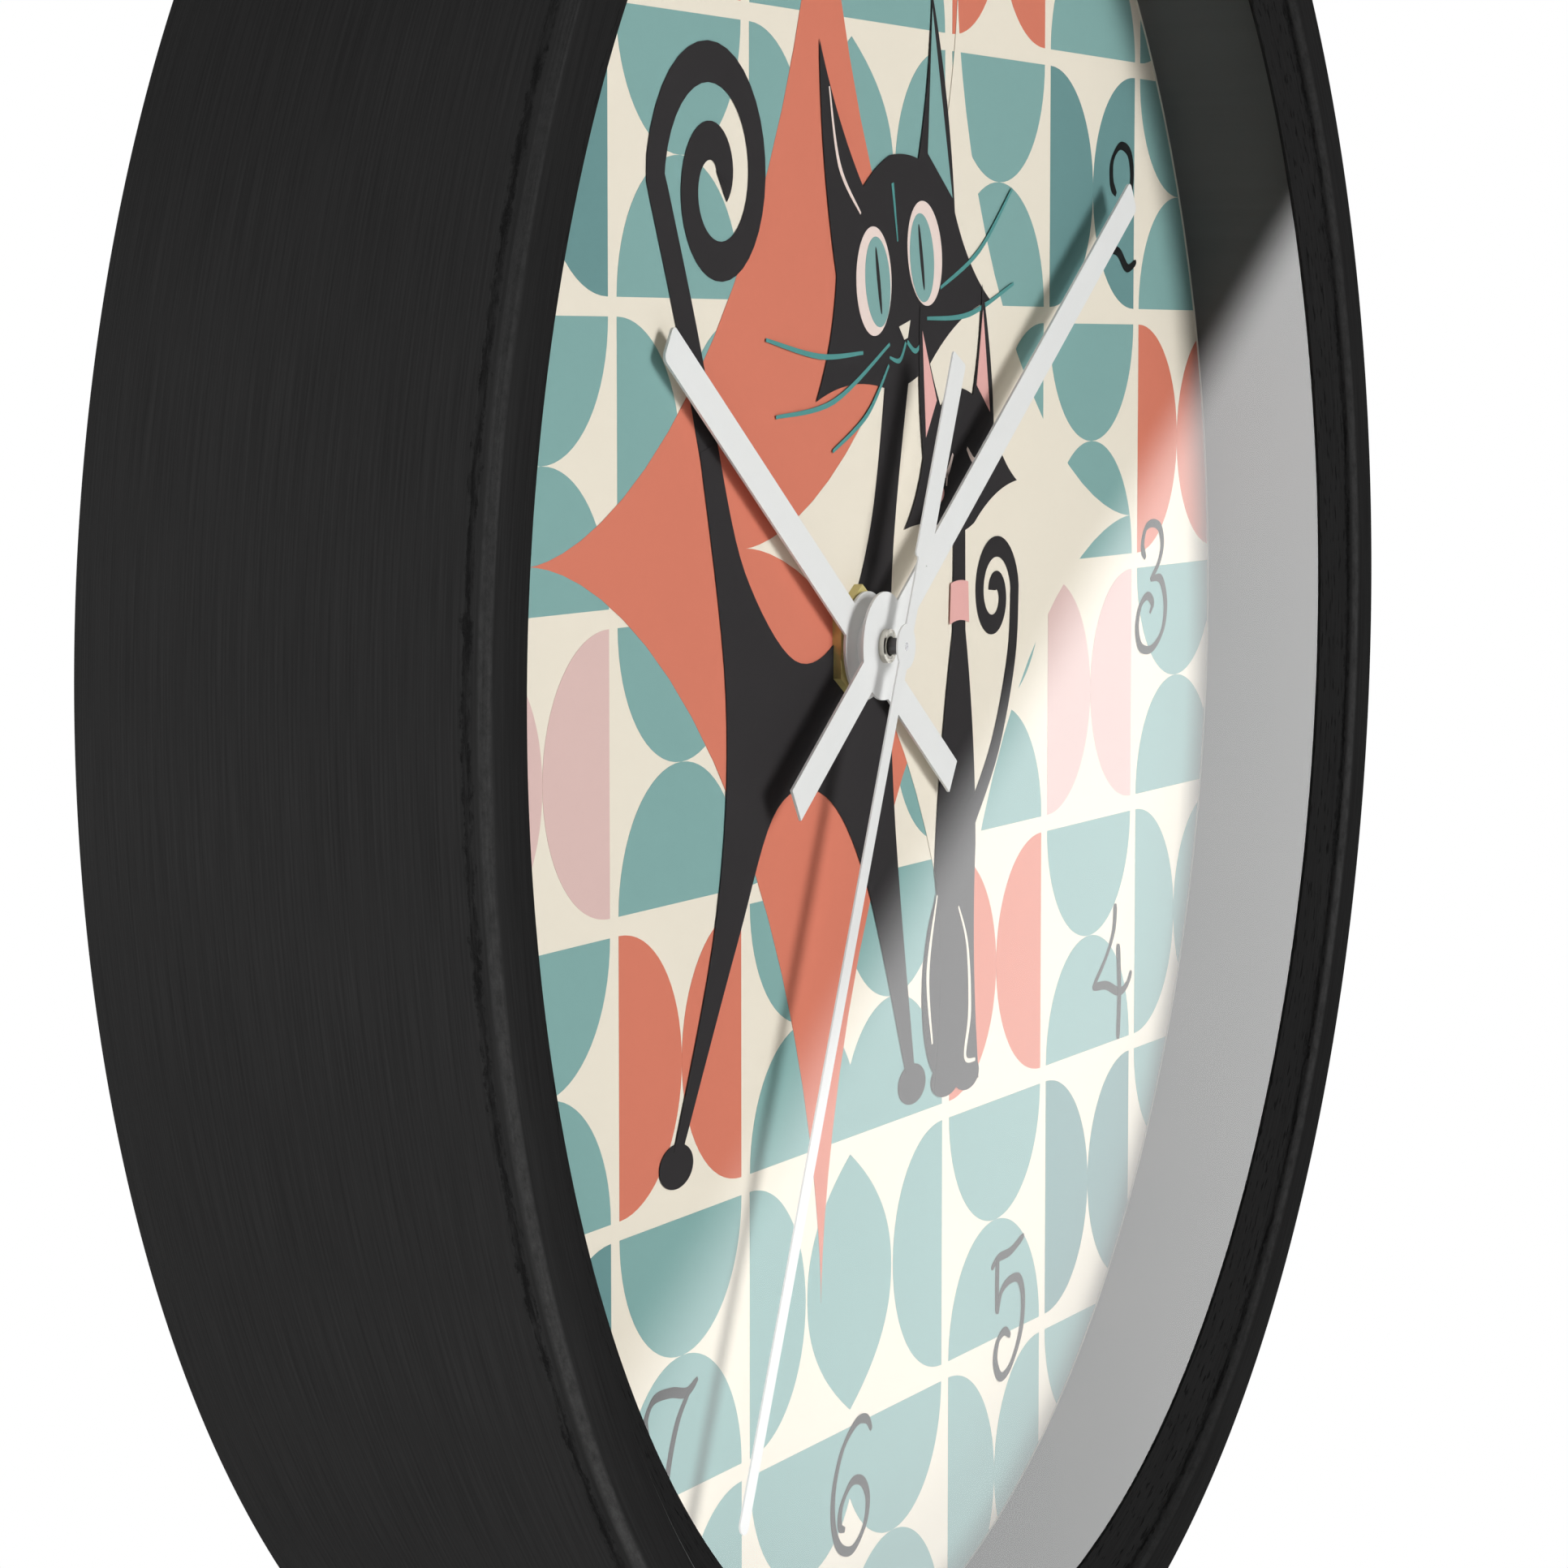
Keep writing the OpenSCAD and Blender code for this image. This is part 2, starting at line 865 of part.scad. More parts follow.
frame_ring();
lens();
spacer_ring();
dial_print();
dial_board();
dial_clips();
clip_screws();
hanger_plate();
rubber_washer();
threaded_bush();
hex_nut();
hour_hand();
minute_hand();
minute_nut();
second_hand();
second_hand_tube();
case_front();
case_back();
middle_plate();
gear_bridge();
bridge_screws();
hour_wheel();
minute_pipe();
motion_wheel();
centre_wheel();
third_wheel();
second_wheel();
second_arbor();
intermediate_wheel();
rotor_magnet();
rotor_pinion();
stator();
coil_core();
coil_bobbin();
coil_winding();
coil_screws();
circuit_board();
chip_cover();
quartz_crystal();
contact_plus();
contact_minus();
battery_can();
battery_sleeve();
setting_shaft();
setting_knob();
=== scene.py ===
"""Looks, light and camera for the round wall clock with a printed cat dial.

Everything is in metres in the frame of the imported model: +Z up, the dial faces -Y.
Art on the dial is drawn in millimetres as (x, z) seen from the front, with the hands' axis at (0, 0).
"""
import math

import bmesh
import bpy
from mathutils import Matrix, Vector


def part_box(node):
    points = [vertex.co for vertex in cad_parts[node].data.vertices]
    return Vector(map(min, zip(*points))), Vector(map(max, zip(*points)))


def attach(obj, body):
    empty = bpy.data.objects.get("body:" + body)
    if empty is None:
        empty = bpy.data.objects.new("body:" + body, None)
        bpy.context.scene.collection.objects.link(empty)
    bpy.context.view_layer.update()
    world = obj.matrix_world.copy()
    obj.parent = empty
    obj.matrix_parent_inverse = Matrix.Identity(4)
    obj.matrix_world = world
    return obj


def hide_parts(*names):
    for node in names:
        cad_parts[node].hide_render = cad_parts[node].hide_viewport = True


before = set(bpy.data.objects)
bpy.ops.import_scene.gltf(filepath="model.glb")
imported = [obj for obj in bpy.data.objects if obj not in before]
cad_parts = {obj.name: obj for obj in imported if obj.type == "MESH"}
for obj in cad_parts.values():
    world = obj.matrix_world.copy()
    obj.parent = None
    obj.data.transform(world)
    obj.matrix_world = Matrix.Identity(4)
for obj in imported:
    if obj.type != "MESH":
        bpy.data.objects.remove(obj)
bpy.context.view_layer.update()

MM = 0.001
ROOT = "clock_body"

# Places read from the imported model
HOOP_LOW, HOOP_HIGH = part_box("frame_ring")
FRONT_Y = HOOP_LOW.y
REAR_Y = HOOP_HIGH.y
HOOP_R = HOOP_HIGH.x
FACE_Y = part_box("dial_print")[0].y
FACE_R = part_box("dial_print")[1].x
LENS_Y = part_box("lens")[0].y

# Colours of the print and of the paints, as 8-bit display values
CREAM = (237, 228, 212)
TEAL = (132, 171, 168)
DARK_TEAL = (109, 148, 148)
CORAL = (215, 126, 104)
PINK = (221, 189, 184)
ROSE = (233, 177, 172)
INK = (54, 52, 53)
NUMERAL = (34, 36, 36)
WHISKER = (88, 149, 146)
BLUSH = (238, 218, 210)

# One printed layer over another, in metres
LAYER = 0.03 * MM

# The print stops this far inside the edge of its paper, in millimetres
PRINT_MARGIN = 0.6


def linear(rgb):
    """Linear colour of an 8-bit display colour."""
    def one(v):
        v = v / 255
        return v / 12.92 if v <= 0.04045 else ((v + 0.055) / 1.055) ** 2.4
    return (one(rgb[0]), one(rgb[1]), one(rgb[2]), 1.0)


# ---------------------------------------------------------------- materials


class Graph:
    """A node material under construction, ending in one Principled shader."""

    def __init__(self, name):
        self.material = bpy.data.materials.new(name)
        self.material.use_nodes = True
        self.tree = self.material.node_tree
        self.tree.nodes.clear()
        self.output = self.node("ShaderNodeOutputMaterial")
        self.shader = self.node("ShaderNodeBsdfPrincipled")
        self.link(self.shader, "BSDF", self.output, "Surface")

    def node(self, kind, **values):
        made = self.tree.nodes.new(kind)
        for key, value in values.items():
            setattr(made, key, value)
        return made

    def link(self, source, out, target, into):
        self.tree.links.new(source.outputs[out], target.inputs[into])

    def set(self, **values):
        """Sets sockets of the Principled shader, with _ for a space in their names."""
        for key, value in values.items():
            self.shader.inputs[key.replace("_", " ")].default_value = value

    def position(self, scale=(1, 1, 1)):
        """Object position, stretched by scale."""
        where = self.node("ShaderNodeTexCoord")
        mapping = self.node("ShaderNodeMapping")
        mapping.inputs["Scale"].default_value = scale
        self.link(where, "Object", mapping, "Vector")
        return mapping

    def noise(self, scale, detail=4, rough=0.55, stretch=(1, 1, 1)):
        made = self.node("ShaderNodeTexNoise")
        made.inputs["Scale"].default_value = scale
        made.inputs["Detail"].default_value = detail
        made.inputs["Roughness"].default_value = rough
        self.link(self.position(stretch), "Vector", made, "Vector")
        return made

    def math(self, operation, a, b=None):
        """A Math node. a and b are numbers or (node, output) pairs."""
        made = self.node("ShaderNodeMath", operation=operation)
        for i, value in enumerate((a, b)):
            if isinstance(value, tuple):
                self.link(value[0], value[1], made, i)
            elif value is not None:
                made.inputs[i].default_value = value
        return made

    def ramp(self, source, out, low, high, dark=0.0, light=1.0):
        """Maps low..high of a value to dark..light."""
        made = self.node("ShaderNodeMapRange")
        made.inputs["From Min"].default_value = low
        made.inputs["From Max"].default_value = high
        made.inputs["To Min"].default_value = dark
        made.inputs["To Max"].default_value = light
        self.link(source, out, made, "Value")
        return made

    def mix(self, factor, a, b):
        """Mixes two colours, each a colour tuple or a (node, output) pair, by a (node, output) pair."""
        made = self.node("ShaderNodeMix", data_type="RGBA")
        self.link(factor[0], factor[1], made, 0)
        for socket, value in ((6, a), (7, b)):
            if isinstance(value[0], bpy.types.Node):
                self.link(value[0], value[1], made, socket)
            else:
                made.inputs[socket].default_value = value
        return (made, 2)

    def colour(self, pair):
        self.link(pair[0], pair[1], self.shader, "Base Color")

    def rough(self, source, out, low, high):
        """Roughness that follows a 0..1 value."""
        self.link(self.ramp(source, out, 0.3, 0.7, low, high), "Result", self.shader, "Roughness")

    def bump(self, source, out, height):
        """Adds a bump of that height in metres over any bump already there."""
        made = self.node("ShaderNodeBump")
        made.inputs["Distance"].default_value = height
        made.inputs["Strength"].default_value = 1.0
        self.link(source, out, made, "Height")
        old = self.shader.inputs["Normal"]
        if old.is_linked:
            self.tree.links.new(old.links[0].from_socket, made.inputs["Normal"])
        self.link(made, "Normal", self.shader, "Normal")


def shade(colour, factor):
    return (colour[0] * factor, colour[1] * factor, colour[2] * factor, 1.0)


def speckled(name, rgb, scale, spread, rough, bump=0.0, stretch=(1, 1, 1), **sockets):
    """A plain material whose colour, roughness and surface vary a little with one noise."""
    g = Graph(name)
    base = linear(rgb)
    noise = g.noise(scale, stretch=stretch)
    g.colour(g.mix((noise, "Fac"), shade(base, 1 - spread), shade(base, 1 + spread)))
    g.rough(noise, "Fac", rough[0], rough[1])
    if bump:
        g.bump(noise, "Fac", bump)
    g.set(**sockets)
    return g


def lacquered_wood():
    """Black lacquer over wood whose grain runs round the hoop, with a glossier rounded bead."""
    g = Graph("lacquered_wood")
    place = g.node("ShaderNodeUVMap", uv_map="profile")
    apart = g.node("ShaderNodeSeparateXYZ")
    g.link(place, "UV", apart, "Vector")

    def along(scale_round, scale_across, detail, rough):
        """Noise stretched round the hoop; both scales are per metre."""
        mapping = g.node("ShaderNodeMapping")
        mapping.inputs["Scale"].default_value = (scale_round, scale_across, 1)
        g.link(place, "UV", mapping, "Vector")
        made = g.node("ShaderNodeTexNoise")
        made.inputs["Scale"].default_value = 1
        made.inputs["Detail"].default_value = detail
        made.inputs["Roughness"].default_value = rough
        g.link(mapping, "Vector", made, "Vector")
        return made

    grain = along(55, 4200, 3, 0.6)
    pores = along(330, 2600, 2, 0.5)
    ragged = along(520, 1100, 6, 0.8)
    cloud = g.noise(16, detail=3)
    base = linear((34, 34, 34))
    streaks = g.mix((g.ramp(grain, "Fac", 0.3, 0.7), "Result"), shade(base, 0.82), shade(base, 1.2))
    patches = g.ramp(cloud, "Fac", 0.3, 0.7, 0.92, 1.08)
    tone = g.node("ShaderNodeVectorMath", operation="SCALE")
    g.link(streaks[0], 2, tone, 0)
    g.link(patches, "Result", tone, "Scale")
    # Broken edges of lacquer where the bead meets the wall and the bevel
    wander = g.ramp(ragged, "Fac", 0.3, 0.7, -0.55 * MM, 0.55 * MM)
    shifted = g.math("ADD", (apart, "Y"), (wander, "Result"))
    lines = None
    for centre, width in ((EDGE_OUTER, 0.30 * MM), (EDGE_BEVEL, 0.24 * MM)):
        away = g.math("ABSOLUTE", (g.math("SUBTRACT", (shifted, 0), centre), 0))
        line = g.ramp(away, 0, width * 0.3, width * 1.5, 1.0, 0.0)
        lines = line if lines is None else g.math("MAXIMUM", (lines, 0), (line, "Result"))
    breaks = along(160, 1800, 3, 0.7)
    lines = g.math("MULTIPLY", (lines, 0), (g.ramp(breaks, "Fac", 0.36, 0.58, 0.15, 1.0), "Result"))
    # Open pores in the bevel
    on_bevel = g.ramp(apart, "Y", EDGE_BEVEL, EDGE_BEVEL + 0.5 * MM)
    open_pore = g.ramp(pores, "Fac", 0.60, 0.68)
    dash = g.math("MULTIPLY", (on_bevel, "Result"), (open_pore, "Result"))
    marks = g.math("MAXIMUM", (lines, 0), (dash, 0))
    dark = g.mix((marks, 0), (tone, 0), shade(base, 0.45))
    g.colour(dark)
    # Gloss on the two shoulders of the bead only
    shoulders = None
    for first, last, weight in ((24, 45, 1.0), (124, 144, 0.45)):
        start = g.ramp(apart, "Y", BEAD_R * math.radians(first) * MM, BEAD_R * math.radians(first + 6) * MM)
        stop = g.ramp(apart, "Y", BEAD_R * math.radians(last - 5) * MM, BEAD_R * math.radians(last) * MM,
                      1.0, 0.0)
        zone = g.math("MULTIPLY", (start, "Result"), (stop, "Result"))
        zone = g.math("MULTIPLY", (zone, 0), weight)
        shoulders = zone if shoulders is None else g.math("ADD", (shoulders, 0), (zone, 0))
    gloss = g.ramp(shoulders, 0, 0, 1, 0.7, 0.38)
    rough = g.math("ADD", (gloss, "Result"), (g.ramp(grain, "Fac", 0.3, 0.7, -0.04, 0.05), "Result"))
    g.link(rough, 0, g.shader, "Roughness")
    sheen = g.ramp(shoulders, 0, 0, 1, 0.0, 0.27)
    patchy = g.math("MULTIPLY", (sheen, "Result"), (g.ramp(ragged, "Fac", 0.35, 0.65, 0.35, 1.7), "Result"))
    g.link(patchy, 0, g.shader, "Specular IOR Level")
    g.bump(grain, "Fac", 0.02 * MM)
    g.bump(marks, 0, -0.06 * MM)
    return g.material


def glass():
    """A thin pane: clear, with a mirror on its front face only, which grows at grazing angles."""
    g = Graph("glass")
    g.tree.nodes.remove(g.shader)
    clear = g.node("ShaderNodeBsdfTransparent")
    clear.inputs["Color"].default_value = (0.995, 0.998, 0.997, 1)
    gloss = g.node("ShaderNodeBsdfGlossy")
    gloss.inputs["Roughness"].default_value = 0.0
    slant = g.node("ShaderNodeLayerWeight")
    slant.inputs["Blend"].default_value = 0.5
    growth = g.math("POWER", (slant, "Facing"), 3.0)
    smear = g.noise(9, detail=2)
    weak = g.math("MULTIPLY", (growth, 0), (g.ramp(smear, "Fac", 0.2, 0.8, 0.39, 0.41), "Result"))
    where = g.node("ShaderNodeTexCoord")
    apart = g.node("ShaderNodeSeparateXYZ")
    g.link(where, "Object", apart, "Vector")
    front = g.math("LESS_THAN", (apart, "Y"), LENS_Y + 1 * MM)
    only = g.math("MULTIPLY", (weak, 0), (front, 0))
    blend = g.node("ShaderNodeMixShader")
    g.link(only, 0, blend, "Fac")
    g.tree.links.new(clear.outputs[0], blend.inputs[1])
    g.tree.links.new(gloss.outputs[0], blend.inputs[2])
    g.link(blend, 0, g.output, "Surface")
    return g.material


def print_ink(name, rgb):
    """Matt ink on paper: a fine fibre and a slight mottle."""
    g = Graph(name)
    base = linear(rgb)
    fibre = g.noise(900, detail=5, rough=0.6)
    mottle = g.noise(35, detail=3)
    fine = g.mix((fibre, "Fac"), shade(base, 0.965), shade(base, 1.03))
    broad = g.node("ShaderNodeMix", data_type="RGBA", blend_type="MULTIPLY")
    broad.inputs[0].default_value = 1.0
    g.link(fine[0], 2, broad, 6)
    tint = g.mix((mottle, "Fac"), (0.975, 0.975, 0.975, 1), (1.02, 1.02, 1.015, 1))
    g.link(tint[0], 2, broad, 7)
    g.colour((broad, 2))
    g.rough(fibre, "Fac", 0.6, 0.75)
    g.bump(fibre, "Fac", 0.008 * MM)
    g.set(Specular_IOR_Level=0.0)
    return g.material


def black_card():
    """Matt dark grey inner wall with faint marks from front to back, and a painted highlight: a pale band
    along its foot at the dial.
    """
    g = Graph("black_card")
    lines = g.noise(1.0, detail=4, stretch=(700, 20, 700))
    base = linear((88, 88, 88))
    card = g.mix((lines, "Fac"), shade(base, 0.92), shade(base, 1.08))
    where = g.node("ShaderNodeTexCoord")
    apart = g.node("ShaderNodeSeparateXYZ")
    g.link(where, "Object", apart, "Vector")
    # Painted highlight: a thin pale band along the foot of the wall, where it meets the dial
    painted_highlight_band = g.ramp(apart, "Y", FACE_Y - 0.30 * MM, FACE_Y - 0.22 * MM)
    g.colour(g.mix((painted_highlight_band, "Result"), (card[0], 2), linear((206, 202, 192))))
    g.rough(lines, "Fac", 0.7, 0.8)
    g.bump(lines, "Fac", 0.01 * MM)
    g.set(Specular_IOR_Level=0.0)
    return g.material


def brushed(name, rgb, stretch, rough=(0.28, 0.45), spread=0.12):
    """Metal with a fine directional grain."""
    g = speckled(name, rgb, 1.0, spread, rough, 0.006 * MM, stretch=stretch, Metallic=1.0)
    return g.material


def hand_paint(name, rgb, glow):
    """Satin white paint, with painted light: an emission that keeps the hands pale in shade, most of all the
    slimmest one.
    """
    g = Graph(name)
    base = linear(rgb)
    peel = g.noise(700, detail=4)
    g.colour(g.mix((peel, "Fac"), shade(base, 0.97), shade(base, 1.02)))
    g.rough(peel, "Fac", 0.42, 0.55)
    g.bump(peel, "Fac", 0.004 * MM)
    # Emission Strength is painted light: it lifts the hands' shaded sides and the shade that falls on them
    g.set(Specular_IOR_Level=0.02, Emission_Color=base, Emission_Strength=glow)
    return g.material


def turned_brass():
    """Turned brass, mostly as a plain colour, so that it stays pale with little around it to mirror."""
    g = speckled("turned_brass", (216, 200, 128), 1.0, 0.1, (0.34, 0.46), 0.006 * MM,
                 stretch=(300, 2200, 300), Metallic=0.12)
    return g.material


def zinc():
    """Galvanised sheet with pale spangles."""
    g = Graph("zinc")
    cells = g.node("ShaderNodeTexVoronoi")
    cells.inputs["Scale"].default_value = 520
    g.link(g.position(), "Vector", cells, "Vector")
    tone = g.node("ShaderNodeSeparateColor")
    g.link(cells, "Color", tone, "Color")
    base = linear((178, 178, 174))
    g.colour(g.mix((tone, "Red"), shade(base, 0.9), shade(base, 1.08)))
    g.rough(tone, "Green", 0.38, 0.5)
    g.bump(g.noise(1500), "Fac", 0.004 * MM)
    g.set(Metallic=1.0)
    return g.material


def fibreboard():
    """Raw fibreboard: short fibres and darker flecks."""
    g = Graph("fibreboard")
    fibre = g.noise(480, detail=8, rough=0.7)
    fleck = g.noise(1.0, detail=4, rough=0.65, stretch=(900, 900, 260))
    base = linear((182, 146, 104))
    ground = g.mix((fibre, "Fac"), shade(base, 0.75), shade(base, 1.2))
    dots = g.ramp(fleck, "Fac", 0.58, 0.68)
    g.colour(g.mix((dots, "Result"), (ground[0], 2), shade(base, 0.5)))
    g.rough(fibre, "Fac", 0.75, 0.9)
    g.bump(fibre, "Fac", 0.05 * MM)
    return g.material


def moulded(name, rgb, rough=(0.45, 0.6), texture=0.015 * MM, scale=1800):
    """Moulded plastic with a spark-eroded texture and faint flow marks."""
    g = speckled(name, rgb, scale, 0.08, rough, texture)
    flow = g.noise(14, detail=2)
    g.bump(flow, "Fac", 0.03 * MM)
    return g.material


def wound_wire():
    """Fine enamelled wire wound across the bobbin."""
    g = Graph("wound_wire")
    turns = g.node("ShaderNodeTexWave", bands_direction="X")
    turns.inputs["Scale"].default_value = 1600
    turns.inputs["Distortion"].default_value = 0.6
    g.link(g.position(), "Vector", turns, "Vector")
    base = linear((186, 98, 52))
    g.colour(g.mix((turns, "Fac"), shade(base, 0.55), shade(base, 1.25)))
    g.bump(turns, "Fac", 0.03 * MM)
    g.set(Metallic=0.9, Roughness=0.3)
    return g.material


def battery_film():
    """Plain shrunk film: a dark body with a copper-coloured end."""
    g = Graph("battery_film")
    where = g.node("ShaderNodeTexCoord")
    apart = g.node("ShaderNodeSeparateXYZ")
    g.link(where, "Object", apart, "Vector")
    low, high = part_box("battery_sleeve")
    split = low.x + (high.x - low.x) * 0.72
    band = g.ramp(apart, "X", split - 0.05 * MM, split + 0.05 * MM)
    scuff = g.noise(1.0, detail=5, stretch=(1400, 160, 160))
    g.colour(g.mix((band, "Result"), linear((34, 34, 36)), linear((186, 118, 62))))
    g.rough(scuff, "Fac", 0.22, 0.38)
    g.bump(scuff, "Fac", 0.006 * MM)
    g.set(Metallic=0.35, Coat_Weight=0.4)
    return g.material


def circuit():
    """Green solder mask with copper tracks showing faintly through it."""
    g = Graph("circuit")
    tracks = g.node("ShaderNodeTexBrick")
    tracks.inputs["Scale"].default_value = 420
    tracks.inputs["Mortar Size"].default_value = 0.04
    tracks.inputs["Color1"].default_value = linear((26, 92, 52))
    tracks.inputs["Color2"].default_value = linear((24, 84, 48))
    tracks.inputs["Mortar"].default_value = linear((52, 128, 72))
    mapping = g.position()
    mapping.inputs["Rotation"].default_value = (math.pi / 2, 0, 0)
    g.link(mapping, "Vector", tracks, "Vector")
    g.colour((tracks, "Color"))
    g.bump(tracks, "Fac", -0.03 * MM)
    g.set(Roughness=0.3, Coat_Weight=0.5)
    return g.material


# ---------------------------------------------------------------- flat drawing


def disc(cx, cz, r, steps=96):
    return [(cx + r * math.cos(2 * math.pi * i / steps), cz + r * math.sin(2 * math.pi * i / steps))
            for i in range(steps)]


def oval(cx, cz, rx, rz, tilt=0.0, steps=48):
    """Ellipse with half axes rx and rz, turned anticlockwise by tilt degrees."""
    c, s = math.cos(math.radians(tilt)), math.sin(math.radians(tilt))
    points = []
    for i in range(steps):
        a = 2 * math.pi * i / steps
        x, z = rx * math.cos(a), rz * math.sin(a)
        points.append((cx + x * c - z * s, cz + x * s + z * c))
    return points


def arcs(corners, steps=12):
    """Closed outline of (x, z, bulge) corners. Bulge is the height of the arc to the next corner over
    half its chord: 0 is straight, and positive swells to the right of the direction of travel."""
    points = []
    for i, (x0, z0, bulge) in enumerate(corners):
        x1, z1, _ = corners[(i + 1) % len(corners)]
        points.append((x0, z0))
        if not bulge:
            continue
        dx, dz = x1 - x0, z1 - z0
        for k in range(1, steps):
            t = k / steps
            lift = bulge * 2 * t * (1 - t)
            points.append((x0 + dx * t + dz * lift, z0 + dz * t - dx * lift))
    return points


def star(cx, cz, rx, rz, power=0.62, steps=24):
    """Four-pointed star with hollow sides."""
    points = []
    for quarter in range(4):
        for i in range(steps):
            a = (quarter + i / steps) * math.pi / 2
            c, s = math.cos(a), math.sin(a)
            x = math.copysign(abs(c) ** (2 / power), c) * rx
            z = math.copysign(abs(s) ** (2 / power), s) * rz
            points.append((cx + x, cz + z))
    return points


def smooth(points, steps=8):
    """Open curve through the points."""
    ends = [points[0]] + list(points) + [points[-1]]
    made = []
    for a, b, c, d in zip(ends, ends[1:], ends[2:], ends[3:]):
        for k in range(steps):
            t = k / steps
            made.append(tuple(
                0.5 * (2 * b[j] + (c[j] - a[j]) * t + (2 * a[j] - 5 * b[j] + 4 * c[j] - d[j]) * t * t
                       + (3 * b[j] - a[j] - 3 * c[j] + d[j]) * t ** 3) for j in (0, 1)))
    made.append(tuple(points[-1]))
    return made


def ribbon(path, width):
    """Quads along a path. width is a function of (share of the length, direction in radians)."""
    left, right = [], []
    last = len(path) - 1
    for i, (x, z) in enumerate(path):
        xa, za = path[max(i - 1, 0)]
        xb, zb = path[min(i + 1, last)]
        way = math.atan2(zb - za, xb - xa)
        half = width(i / last, way) / 2
        nx, nz = -math.sin(way) * half, math.cos(way) * half
        left.append((x + nx, z + nz))
        right.append((x - nx, z - nz))
    return [[left[i], right[i], right[i + 1], left[i + 1]] for i in range(last)]


def within_disc(polygon, r):
    """The part of a polygon inside a disc about the axis."""
    edge = disc(0, 0, r, 160)
    for (ax, az), (bx, bz) in zip(edge, edge[1:] + edge[:1]):
        def side(p):
            return (bx - ax) * (p[1] - az) - (bz - az) * (p[0] - ax)
        kept = []
        for p, q in zip(polygon, polygon[1:] + polygon[:1]):
            sp, sq = side(p), side(q)
            if sp >= 0:
                kept.append(p)
            if (sp >= 0) != (sq >= 0):
                t = sp / (sp - sq)
                kept.append((p[0] + (q[0] - p[0]) * t, p[1] + (q[1] - p[1]) * t))
        polygon = kept
        if len(polygon) < 3:
            return []
    return polygon


def inked(name, polygons, material, layer, trim=True):
    """A printed layer: polygons on the dial, as one thin piece standing just over the layers below."""
    if trim:
        polygons = [within_disc(p, FACE_R / MM - PRINT_MARGIN) for p in polygons]
    mesh = bpy.data.meshes.new(name)
    bm = bmesh.new()
    for polygon in polygons:
        if len(polygon) < 3:
            continue
        verts = [bm.verts.new((x * MM, FACE_Y - layer * LAYER, z * MM)) for x, z in polygon]
        face = bm.faces.new(verts)
        face.normal_update()
        if face.normal.y > 0:
            face.normal_flip()
    bmesh.ops.triangulate(bm, faces=bm.faces[:])
    bm.to_mesh(mesh)
    bm.free()
    piece = bpy.data.objects.new(name, mesh)
    bpy.context.collection.objects.link(piece)
    mesh.materials.append(material)
    thick = piece.modifiers.new("thickness", "SOLIDIFY")
    thick.thickness = LAYER * 0.98
    thick.offset = -1
    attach(piece, ROOT)


# ---------------------------------------------------------------- the dial's print

# Millimetres: pitch and width of a cell, the first cell's place, and the two cut cells at the seam
PITCH = 31.65
CELL = 29.65
GRID_X = 44.2
GRID_Z = 53.5
SEAM = -0.8
SEAM_EDGE = 27.2
LENS_HALF = 11.9
DOME_SHIFT = 12.3


def half_disc(cx, cz, facing, r=CELL / 2):
    """Half disc whose flat side faces away from `facing`, an angle in degrees, with its flat at (cx, cz)."""
    points = []
    for i in range(33):
        a = math.radians(facing - 90 + 180 * i / 32)
        points.append((cx + r * math.cos(a), cz + r * math.sin(a)))
    return points


def tile(cx, cz, upright):
    """Two half discs in one cell: flats on opposite edges, round sides touching in the middle."""
    h = CELL / 2
    if upright:
        return [half_disc(cx - h, cz, 0), half_disc(cx + h, cz, 180)]
    return [half_disc(cx, cz + h, -90), half_disc(cx, cz - h, 90)]


def tiles():
    """Cells of half discs, mirrored about a seam just left of the middle."""
    art = {"teal": [], "dark": [], "coral": [], "pink": []}
    for row in range(8):
        cz = GRID_Z + PITCH * (1 - row)
        for side in (-1, 1):
            for column in (1, 2, 3):
                cx = SEAM + side * (GRID_X + PITCH * (column - 1))
                if column == 2:
                    colour, upright = ("pink" if row % 4 == 3 else "dark"), row % 2 == 1
                    if not upright:
                        colour = "teal"
                else:
                    upright = row % 2 == 0
                    colour = "teal"
                    if upright:
                        coral = row % 4 == (0 if column == 1 else 2)
                        colour = "coral" if coral else "teal"
                art[colour] += tile(cx, cz, upright)
        art["teal"] += centre_cells(cz, row % 2 == 1)
    return art


def centre_cells(cz, upright):
    """The two cut cells that meet at the seam."""
    h = CELL / 2
    made = []
    for side in (-1, 1):
        if upright:
            made.append(half_disc(SEAM + side * SEAM_EDGE, cz, 180 if side > 0 else 0))
            made.append([(SEAM, cz + h), *[
                (SEAM + side * LENS_HALF * (1 - abs(1 - k / 12) ** 2.2), cz + h * (1 - k / 12))
                for k in range(1, 24)], (SEAM, cz - h)])
        else:
            middle = SEAM + side * DOME_SHIFT
            for flat, turn in ((cz + h, -1), (cz - h, 1)):
                dome = []
                for k in range(33):
                    a = math.pi * k / 32
                    x = middle + side * h * math.cos(a)
                    if (x - SEAM) * side >= 0:
                        dome.append((x, flat + turn * h * math.sin(a)))
                dome.append((SEAM, flat + turn * math.sqrt(h * h - DOME_SHIFT * DOME_SHIFT)))
                dome.append((SEAM, flat))
                made.append(dome)
    return made


def spiral(cx, cz, r0, r1, start, sweep, steps=60):
    """Path that winds from radius r0 to r1 about a centre, angles in degrees."""
    path = []
    for i in range(steps + 1):
        t = i / steps
        a = math.radians(start + sweep * t)
        r = r0 + (r1 - r0) * t
        path.append((cx + r * math.cos(a), cz + r * math.sin(a)))
    return path


def placed(points, cx, cz, tilt):
    """Points turned anticlockwise by tilt degrees and moved to (cx, cz)."""
    c, s = math.cos(math.radians(tilt)), math.sin(math.radians(tilt))
    return [(cx + x * c - z * s, cz + x * s + z * c) for x, z in points]


